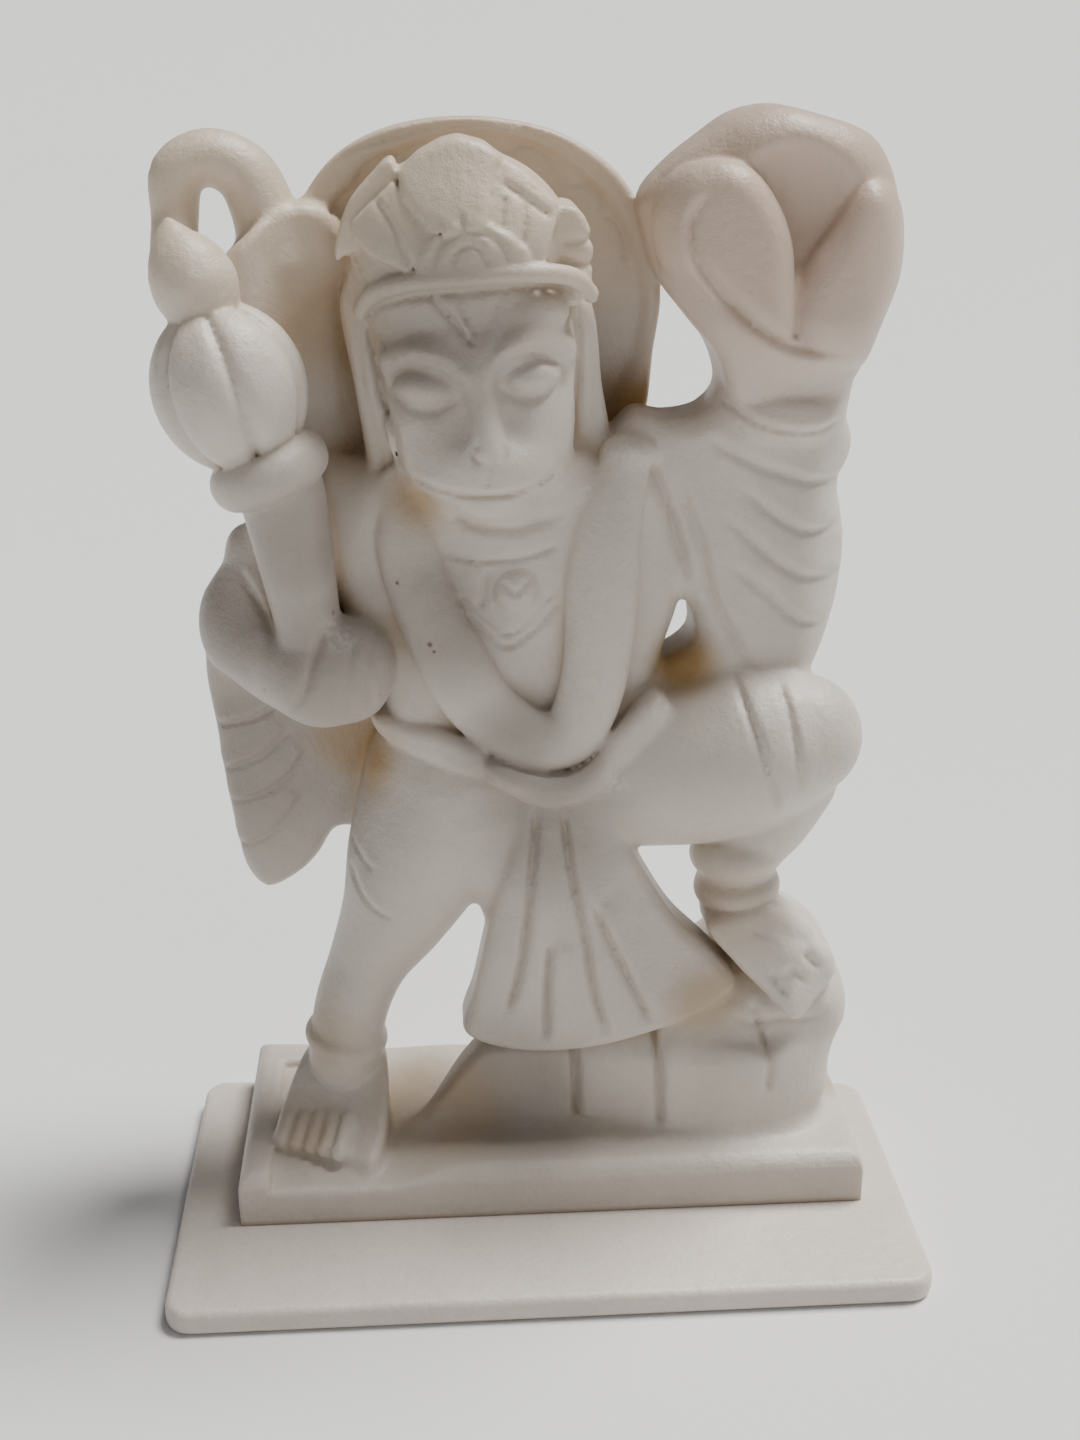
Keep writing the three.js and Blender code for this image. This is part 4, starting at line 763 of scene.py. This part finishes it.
def carved_clay(cell):
    clay = Clay(CLAY_LOW, CLAY_HIGH, cell)
    for carve in (
            carve_block, carve_rock, carve_right_leg, carve_torso, carve_left_leg, carve_left_foot,
            carve_cape, carve_halo, carve_tail, carve_shawl, carve_arm_with_mountain,
            carve_arm_with_mace, carve_head, carve_crown, carve_belt, carve_skirt, carve_garland):
        carve(clay)
    clay.level(-BLOCK_HEIGHT - 0.1)
    return clay


# Skin: one vertex in every cell that the surface crosses, one face on every edge it crosses

CORNERS = list(np.ndindex(2, 2, 2))


def joined(corners):
    """True if these corners of a cell are in one piece along its edges."""
    reached = set(corners[:1])
    fresh = list(reached)
    while fresh:
        at = fresh.pop()
        near = {at ^ bit for bit in (1, 2, 4)} & set(corners) - reached
        reached |= near
        fresh += near
    return len(reached) == len(corners)


def plain_cells():
    """Cells where stone and air are each in one piece, so that the skin stays one sheet."""
    sides = [([n for n in range(8) if mask >> n & 1], [n for n in range(8) if not mask >> n & 1])
             for mask in range(256)]
    return np.array([joined(full) and joined(empty) for full, empty in sides])


def cell_masks(field):
    nx, ny, nz = (count - 1 for count in field.shape)
    mask = np.zeros((nx, ny, nz), dtype=np.uint8)
    for n, (i, j, k) in enumerate(CORNERS):
        mask |= (field[i:nx + i, j:ny + j, k:nz + k] < 0).astype(np.uint8) << n
    return mask


def skin_of(clay):
    field = clay.field
    plain = plain_cells()
    offsets = np.array(CORNERS)
    for _ in range(MENDING_ROUNDS):
        mask = cell_masks(field)
        tangled = np.argwhere(~plain[mask])
        if len(tangled) == 0:
            break
        around = tangled[:, None, :] + offsets[None, :, :]
        values = field[around[..., 0], around[..., 1], around[..., 2]]
        least = np.where(values < 0, FAR, values).argmin(axis=1)
        nearest = around[np.arange(len(tangled)), least]
        field[tuple(nearest.T)] = -MENDING_SHARE * clay.cell
    cells = np.argwhere((mask != 0) & (mask != 255))
    around = cells[:, None, :] + offsets[None, :, :]
    values = field[around[..., 0], around[..., 1], around[..., 2]]
    total = np.zeros((len(cells), 3))
    count = np.zeros((len(cells), 1))
    for a, b in ((a, b) for a in range(8) for b in (a | 1, a | 2, a | 4) if b > a):
        crossing = ((values[:, a] < 0) != (values[:, b] < 0))[:, None]
        drop = (values[:, a] - values[:, b])[:, None]
        share = np.where(crossing, values[:, a, None] / np.where(crossing, drop, 1), 0)
        total += np.where(crossing, offsets[a] + (offsets[b] - offsets[a]) * share, 0)
        count += crossing
    starts = np.array([axis[0] for axis in clay.axes])
    points = starts + clay.cell * (cells + total / count)
    vertex_of = np.full(mask.shape, -1, dtype=np.int64)
    vertex_of[tuple(cells.T)] = np.arange(len(cells))
    faces = []
    for axis in range(3):
        ahead = [slice(1, -1)] * 3
        ahead[axis] = slice(2, None)
        here = field[1:-1, 1:-1, 1:-1] < 0
        there = field[tuple(ahead)] < 0
        edges = np.argwhere(here != there) + 1
        outward = here[here != there]
        u, v = np.eye(3, dtype=int)[[(axis + 1) % 3, (axis + 2) % 3]]
        steps = (u + v, v, 0 * u, u)
        quad = np.stack([vertex_of[tuple((edges - back).T)] for back in steps], axis=1)
        faces.append(np.where(outward[:, None], quad, quad[:, ::-1]))
    return points, np.vstack(faces)


def largest_shell(points, faces):
    label = np.arange(len(points))
    while True:
        lowest = label[faces].min(axis=1)
        fresh = label.copy()
        np.minimum.at(fresh, faces.ravel(), np.repeat(lowest, 4))
        fresh = fresh[fresh]
        if (fresh == label).all():
            break
        label = fresh
    kept = label == np.bincount(label).argmax()
    renumbered = np.cumsum(kept) - 1
    return points[kept], renumbered[faces[kept[faces[:, 0]]]]


def rubbed(points, faces, amount):
    """Draws every vertex towards the middle of its neighbours, as rubbing the stone down does."""
    total = np.zeros_like(points)
    count = np.zeros(len(points))
    for a, b in ((0, 1), (1, 2), (2, 3), (3, 0)):
        for p, q in ((a, b), (b, a)):
            for axis in range(3):
                total[:, axis] += np.bincount(faces[:, p], points[faces[:, q], axis], len(points))
            count += np.bincount(faces[:, p], minlength=len(points))
    return points + amount * (total / count[:, None] - points)


# Materials

class Socket:
    """A shader value that can be added to, multiplied and so on as a number can."""

    def __init__(self, paint, link):
        self.paint = paint
        self.link = link

    def math(self, operation, *others):
        return self.paint.number(operation, self, *others)

    def __add__(self, other):
        return self.math("ADD", other)

    __radd__ = __add__

    def __sub__(self, other):
        return self.math("SUBTRACT", other)

    def __rsub__(self, other):
        return self.paint.number("SUBTRACT", other, self)

    def __mul__(self, other):
        return self.math("MULTIPLY", other)

    __rmul__ = __mul__

    def step(self, low, high):
        """Nought below low, one above high and smooth between."""
        return self.paint.node("ShaderNodeMapRange", {"interpolation_type": "SMOOTHSTEP"},
                               {"Value": self, "From Min": low, "From Max": high}).out("Result")


class Node:
    def __init__(self, paint, node):
        self.paint = paint
        self.node = node

    def out(self, name):
        return Socket(self.paint, self.node.outputs[name])


class Paint:
    """A material's node tree."""

    def __init__(self, name):
        self.material = bpy.data.materials.new(name)
        self.material.use_nodes = True
        self.tree = self.material.node_tree
        self.tree.nodes.clear()

    def node(self, kind, settings=None, inputs=None):
        node = self.tree.nodes.new(kind)
        for name, value in (settings or {}).items():
            setattr(node, name, value)
        for name, value in (inputs or {}).items():
            if isinstance(value, Socket):
                self.tree.links.new(value.link, node.inputs[name])
            else:
                node.inputs[name].default_value = value
        return Node(self, node)

    def number(self, operation, *values):
        return self.node("ShaderNodeMath", {"operation": operation}, dict(enumerate(values))).out(0)

    def place(self):
        return self.node("ShaderNodeTexCoord").out("Object")

    def moved(self, place, turn, scale):
        return self.node("ShaderNodeMapping", {},
                         {"Vector": place, "Rotation": turn, "Scale": scale}).out(0)

    def noise(self, place, scale, detail, roughness=0.5, distortion=0.0):
        return self.node("ShaderNodeTexNoise", {}, {
            "Vector": place, "Scale": scale, "Detail": detail, "Roughness": roughness,
            "Distortion": distortion}).out("Fac")

    def attribute(self, name):
        return self.node("ShaderNodeAttribute", {"attribute_name": name}).out("Fac")

    def blend(self, share, first, second):
        return self.node("ShaderNodeMix", {"data_type": "RGBA"},
                         {0: share, 6: first, 7: second}).out(2)

    def patches(self, place, marks):
        """One at the middle of the nearest of these marks, nought outside them all."""
        shares = [self.near(place, centre, radius) for centre, radius in marks]
        most = shares[0]
        for share in shares[1:]:
            most = most.math("MAXIMUM", share)
        return most

    def near(self, place, centre, radius):
        """One at this place in millimetres, falling to nought at the radius."""
        world = [(c + o) * MM for c, o in zip(centre, FIGURE_PLACE)]
        away = self.node("ShaderNodeVectorMath", {"operation": "DISTANCE"}, {0: place, 1: world})
        return 1 - away.out("Value").step(MARK_CORE * radius * MM, radius * MM)


# Marks on the stone, and patches of painted shade: centre in the figure's millimetres, radius
STAINS = (
    ((-20, -5, 120), 9), ((-32.5, -4, 75), 12), ((-32.5, 3, 74), 12), ((25, -4, 90), 9),
    ((27, 0, 86), 9), ((17, 12, 131), 11),
)
TINTS = (
    ((-31, 4, 126), 13), ((-40, -6, 19), 11), ((34, -9, 46), 14), ((-34, 6, 146), 16),
    ((-20, -8, 4), 19), ((-25, 4, 2), 16), ((-46, -6, 127), 7), ((-52, -6, 152), 8),
    ((30, -14, 28), 12), ((-24, 10, 160), 14), ((56, 0, 4), 9), ((-44, -14, 4), 10),
)
# Painted shade: patches on the faces that lie in shade (forehead, fist, mace shaft, cape, garland,
# skirt top, rock front), greyed in the colour
SHADE_PATCHES = (
    ((-15, -10, 150), 24), ((-36, -14, 95), 26), ((-40, -14, 115), 20), ((-50, 2, 70), 32),
    ((-18, -14, 102), 20), ((2, -14, 64), 20), ((-6, -12, 10), 24), ((-6, -12, 78), 14),
    ((-58, -6, 95), 24), ((-38, -16, 58), 14),
)
ROSY = (((38, -6, 162), 40),)
PITS = (
    ((-34.1, -11.5, 102.9), 0.9), ((-32.7, -11, 101.1), 0.6), ((-18.8, -12.7, 97.4), 0.7),
    ((-18.1, -12.7, 96.2), 0.45), ((-23.9, -11.1, 107.7), 0.55), ((-46.8, -11, 89.4), 0.5),
    ((-37, -15.6, 116.8), 0.5),
)
BRUISES = (
    ((-33, -14, 100), 5), ((14, -7, 128), 5), ((13, -13, 72), 4), ((21, -13, 85), 4),
    ((34, -16, 86), 6),
)


def rgba(colour):
    return (*colour, 1)


def shaded(colour, red, green, blue):
    """The colour with each of its channels multiplied by its share."""
    return rgba([min(1, c * share) for c, share in zip(colour, (red, green, blue))])


def stone_material(name, colour, look, stained):
    paint = Paint(name)
    place = paint.place()
    broad = paint.noise(place, 26, 3, 0.55)
    cloud = paint.noise(place, 75, 4, 0.6, 0.4)
    grain = paint.noise(place, 900, 2, 0.6)
    sugar = paint.noise(place, 2600, 2, 0.7)
    layers = [
        (broad.step(0.35, 0.65), shaded(colour, 0.93, 0.93, 0.93)),
        (cloud.step(0.5, 0.75) * 0.3, shaded(colour, 1.06, 1.06, 1.06)),
        (grain.step(0.5, 0.68) * 0.22, shaded(colour, 0.8, 0.8, 0.8)),
    ]
    rough = 0.44 + 0.12 * (cloud - 0.5)
    if stained:
        height = paint.node("ShaderNodeSeparateXYZ", {}, {0: place}).out("Z")
        clouded = cloud.step(0.4, 0.6)
        # Painted shade: the shade patches, with a cloudy edge
        painted_shade = paint.patches(place, SHADE_PATCHES) * (0.7 + 0.3 * cloud)
        patches = paint.patches(place, STAINS) + paint.patches(place, TINTS) * 0.6
        patches = patches * (0.55 + 0.6 * broad.step(0.3, 0.7))
        grime = paint.attribute("recess").step(0.08, 0.3) * (0.3 + clouded) * 0.45 + patches
        grime = paint.node("ShaderNodeClamp", {}, {"Value": grime * look.stain}).out(0)
        line = paint.attribute("crease").step(0.07, 0.22) * (0.35 + 0.65 * clouded) * 0.45
        bruised = paint.patches(place, BRUISES) * grain.step(0.35, 0.65)
        layers += [
            (height.step(WARM_FROM, WARM_TO) * 0.9, shaded(colour, 1.0, 0.92, 0.80)),
            (paint.patches(place, ROSY) * 0.8, shaded(colour, 0.84, 0.70, 0.64)),
            # Painted shade: the stone darkened to under half its colour in the shade patches
            (painted_shade * 0.9, shaded(colour, 0.44, 0.42, 0.41)),
            (grime, rgba(look.stain_colour)),
            (line, shaded(colour, 0.70, 0.62, 0.52)),
            (paint.patches(place, PITS), rgba((0.16, 0.07, 0.03))),
            (bruised * 0.22, rgba((0.95, 0.94, 0.92))),
            ((1 - height.step(JOINT_FROM, JOINT_TO)) * 0.6, shaded(colour, 0.6, 0.5, 0.42)),
        ]
        rough = rough + grime * 0.15
    tone = rgba(colour)
    for share, shade in layers:
        tone = paint.blend(share, tone, shade)
    marks = paint.noise(paint.moved(place, (0.3, 0.5, 0.2), (1, 1, 0.25)), 420, 2, 0.6)
    relief = paint.noise(place, 110, 3) + marks * 0.35 + grain * 0.26 + sugar * 0.2
    bump = paint.node("ShaderNodeBump", {}, {"Strength": 0.6, "Distance": 0.0009, "Height": relief})
    stone = paint.node("ShaderNodeBsdfPrincipled", {"subsurface_method": "RANDOM_WALK"}, {
        "Base Color": tone,
        "Roughness": rough,
        "IOR": 1.5,
        "Subsurface Weight": 0.25,
        "Subsurface Radius": (1.0, 0.75, 0.55),
        "Subsurface Scale": look.depth_of_light,
        "Coat Weight": 0.08,
        "Coat Roughness": 0.3,
        "Normal": bump.out(0),
    })
    paint.node("ShaderNodeOutputMaterial", {}, {"Surface": stone.out(0)})
    return paint.material


def plain_material(name, colour, roughness):
    paint = Paint(name)
    shine = paint.noise(paint.place(), 6, 2) * 0.06 + roughness
    surface = paint.node("ShaderNodeBsdfPrincipled", {},
                         {"Base Color": rgba(colour), "Roughness": shine})
    paint.node("ShaderNodeOutputMaterial", {}, {"Surface": surface.out(0)})
    return paint.material


# Sizes and colours

class FigureSizes(bpy.types.PropertyGroup):
    cell: FloatProperty(
        name="Fineness", description="Size of the cells that the carving is worked out in",
        default=0.52 * MM, unit="LENGTH")
    rub: FloatProperty(
        name="Rubbing", description="How far the finished carving is rubbed smooth",
        default=0.35, subtype="FACTOR")
    faces: FloatProperty(
        name="Faces", description="Most triangles that the carving keeps", default=194000)


class SlabSizes(bpy.types.PropertyGroup):
    width: FloatProperty(
        name="Width", description="Left to right", default=134.4 * MM, unit="LENGTH")
    left_depth: FloatProperty(
        name="Left depth", description="Front to back along the left side",
        default=70 * MM, unit="LENGTH")
    right_depth: FloatProperty(
        name="Right depth", description="Front to back along the right side",
        default=61 * MM, unit="LENGTH")
    thickness: FloatProperty(
        name="Thickness", description="Height of the slab", default=5 * MM, unit="LENGTH")
    corner: FloatProperty(
        name="Corner", description="Radius of the corners seen from above",
        default=4.6 * MM, unit="LENGTH")
    edge: FloatProperty(
        name="Edge", description="Radius of the edges above and below",
        default=1.4 * MM, unit="LENGTH")


class StoneLook(bpy.types.PropertyGroup):
    figure_colour: FloatVectorProperty(
        name="Figure", description="Colour of the figure's marble",
        default=(0.63, 0.57, 0.505), subtype="COLOR")
    slab_colour: FloatVectorProperty(
        name="Slab", description="Colour of the slab's marble",
        default=(0.70, 0.63, 0.57), subtype="COLOR")
    stain_colour: FloatVectorProperty(
        name="Stains", description="Colour of the stains in the hollows",
        default=(0.36, 0.225, 0.085), subtype="COLOR")
    stain: FloatProperty(
        name="Stain", description="Strength of the stains", default=1.0, subtype="FACTOR")
    depth_of_light: FloatProperty(
        name="Depth of light", description="How far light goes into the stone",
        default=2.0 * MM, unit="LENGTH")


class StageLook(bpy.types.PropertyGroup):
    floor_colour: FloatVectorProperty(
        name="Floor", description="Colour of the floor",
        default=(0.78, 0.78, 0.78), subtype="COLOR")
    camera_place: FloatVectorProperty(
        name="Camera", description="Where the camera stands",
        default=(-0.0177, -0.2676, 0.2080), subtype="XYZ", unit="LENGTH")
    lens: FloatProperty(
        name="Lens", description="Focal length in millimetres on a 36 mm film", default=42.5)


# Operators

def deselect():
    for obj in bpy.context.selected_objects:
        obj.select_set(False)


def only(obj):
    deselect()
    obj.select_set(True)
    bpy.context.view_layer.objects.active = obj


def set_material(obj, material):
    obj.data.materials.clear()
    obj.data.materials.append(material)


class FIGURE_OT_carve(bpy.types.Operator):
    """Carves the figure with its rock and block out of one piece"""
    bl_idname = "figure.carve"
    bl_label = "Carve the figure"

    def execute(self, context):
        sizes = context.scene.figure_sizes
        clay = carved_clay(sizes.cell / MM * (1))
        points, faces = largest_shell(*skin_of(clay))
        points = rubbed(points, faces, sizes.rub)
        mesh = bpy.data.meshes.new("figure_carving")
        low, high = np.array(cad_box)
        points = np.clip((points + FIGURE_PLACE) * MM, low + BOX_GAP, high - BOX_GAP)
        mesh.from_pydata(points, [], faces)
        mesh.update()
        figure = bpy.data.objects.new("figure_carving", mesh)
        context.collection.objects.link(figure)
        only(figure)
        if 2 * len(faces) > sizes.faces:
            thinner = figure.modifiers.new("thin", "DECIMATE")
            thinner.ratio = sizes.faces / (2 * len(faces))
            bpy.ops.object.modifier_apply(modifier=thinner.name)
        self.note_hollows(figure.data, clay)
        bpy.ops.object.shade_smooth()
        look = context.scene.stone_look
        set_material(figure, stone_material("figure_marble", look.figure_colour, look, True))
        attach(figure, "root")
        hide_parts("figure")
        return {"FINISHED"}

    @staticmethod
    def note_hollows(mesh, clay):
        """Writes on every vertex how deep it lies in a crease and in a wider recess."""
        flat = np.empty(3 * len(mesh.vertices), dtype=np.float32)
        mesh.vertices.foreach_get("co", flat)
        points = flat.reshape(-1, 3) / MM - FIGURE_PLACE
        for name, width in HOLLOWS:
            layer = mesh.attributes.new(name, "FLOAT", "POINT")
            depth = clay.read(clay.fullness(width), points) - 0.5
            layer.data.foreach_set("value", depth.astype(np.float32))


class SLAB_OT_make(bpy.types.Operator):
    """Makes the marble slab under the block"""
    bl_idname = "figure.slab"
    bl_label = "Make the slab"

    def execute(self, context):
        sizes = context.scene.slab_sizes
        deselect()
        bpy.ops.mesh.primitive_cube_add(size=1, location=(0, 0, 0))
        slab = context.active_object
        slab.name = slab.data.name = "marble_slab"
        front = -sizes.left_depth / 2
        for vertex in slab.data.vertices:
            x, y, z = vertex.co
            depth = sizes.left_depth if x < 0 else sizes.right_depth
            vertex.co = (math.copysign(sizes.width / 2, x), front + (depth if y > 0 else 0),
                         sizes.thickness if z > 0 else 0)
        bpy.ops.object.mode_set(mode="EDIT")
        bpy.ops.mesh.select_mode(type="EDGE")
        bpy.ops.mesh.select_all(action="DESELECT")
        bpy.ops.object.mode_set(mode="OBJECT")
        for edge in slab.data.edges:
            a, b = (slab.data.vertices[v].co for v in edge.vertices)
            edge.select = abs(a.z - b.z) > sizes.thickness / 2
        bpy.ops.object.mode_set(mode="EDIT")
        bpy.ops.mesh.bevel(offset=sizes.corner, segments=8, affect="EDGES")
        bpy.ops.object.mode_set(mode="OBJECT")
        rounding = slab.modifiers.new("edge", "BEVEL")
        rounding.width = sizes.edge
        rounding.segments = 5
        rounding.limit_method = "ANGLE"
        rounding.angle_limit = math.radians(60)
        bpy.ops.object.modifier_apply(modifier=rounding.name)
        bpy.ops.object.shade_smooth_by_angle(angle=math.radians(35))
        look = context.scene.stone_look
        set_material(slab, stone_material("slab_marble", look.slab_colour, look, False))
        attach(slab, "root")
        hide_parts("plinth")
        return {"FINISHED"}


class STAGE_OT_set(bpy.types.Operator):
    """Sets the floor, the lights and the camera"""
    bl_idname = "figure.stage"
    bl_label = "Set the stage"

    def execute(self, context):
        look = context.scene.stage_look
        paint = plain_material("floor_paint", look.floor_colour, 0.7)
        floor = self.ground("studio_floor", (0, 0, 0), 0, paint)
        tilt = math.radians(BACKDROP_TILT)
        half = GROUND_SIZE / 2
        place = (0, BACKDROP_START + half * math.cos(tilt), half * math.sin(tilt))
        backdrop = self.ground("studio_backdrop", place, tilt, paint)
        for lamp in LAMPS:
            self.sun(*lamp)
        world = bpy.data.worlds.new("studio")
        world.use_nodes = True
        background = world.node_tree.nodes["Background"]
        background.inputs["Color"].default_value = (1, 1, 1, 1)
        background.inputs["Strength"].default_value = ROOM_LIGHT
        context.scene.world = world
        turn = [math.radians(angle) for angle in CAMERA_TURN]
        bpy.ops.object.camera_add(location=look.camera_place, rotation=turn)
        camera = context.active_object
        camera.data.lens = look.lens
        camera.data.clip_start = CAMERA_NEAREST
        context.scene.camera = camera
        return {"FINISHED"}

    @staticmethod
    def ground(name, place, tilt, material):
        deselect()
        bpy.ops.mesh.primitive_plane_add(size=GROUND_SIZE, location=place, rotation=(tilt, 0, 0))
        plane = bpy.context.active_object
        plane.name = name
        set_material(plane, material)
        return plane

    @staticmethod
    def sun(name, towards, spread, strength, colour):
        """A soft light as wide as the spread in degrees, from this direction."""
        deselect()
        bpy.ops.object.light_add(type="SUN", location=(0, 0, 1))
        lamp = bpy.context.active_object
        lamp.name = name
        lamp.data.angle = math.radians(spread)
        lamp.data.energy = strength
        lamp.data.color = colour
        lamp.rotation_euler = Vector(towards).to_track_quat("Z", "Y").to_euler()


class FIGURE_PT_panel(bpy.types.Panel):
    bl_label = "Marble figure"
    bl_idname = "FIGURE_PT_panel"
    bl_space_type = "VIEW_3D"
    bl_region_type = "UI"
    bl_category = "Marble"

    def draw(self, context):
        for name in GROUPS:
            group = getattr(context.scene, name)
            for key in group.bl_rna.properties.keys():
                if key not in ("rna_type", "name"):
                    self.layout.prop(group, key)
        for operator in OPERATORS:
            self.layout.operator(operator.bl_idname)


GROUPS = {"figure_sizes": FigureSizes, "slab_sizes": SlabSizes, "stone_look": StoneLook,
          "stage_look": StageLook}
OPERATORS = (FIGURE_OT_carve, SLAB_OT_make, STAGE_OT_set)


def register():
    for name, group in GROUPS.items():
        bpy.utils.register_class(group)
        setattr(bpy.types.Scene, name, PointerProperty(type=group))
    for kind in (*OPERATORS, FIGURE_PT_panel):
        bpy.utils.register_class(kind)


def unregister():
    for kind in (*OPERATORS, FIGURE_PT_panel):
        bpy.utils.unregister_class(kind)
    for name, group in GROUPS.items():
        delattr(bpy.types.Scene, name)
        bpy.utils.unregister_class(group)


def main():
    register()
    bpy.ops.figure.carve()
    bpy.ops.figure.slab()
    bpy.ops.figure.stage()


if __name__ == "__main__":
    main()
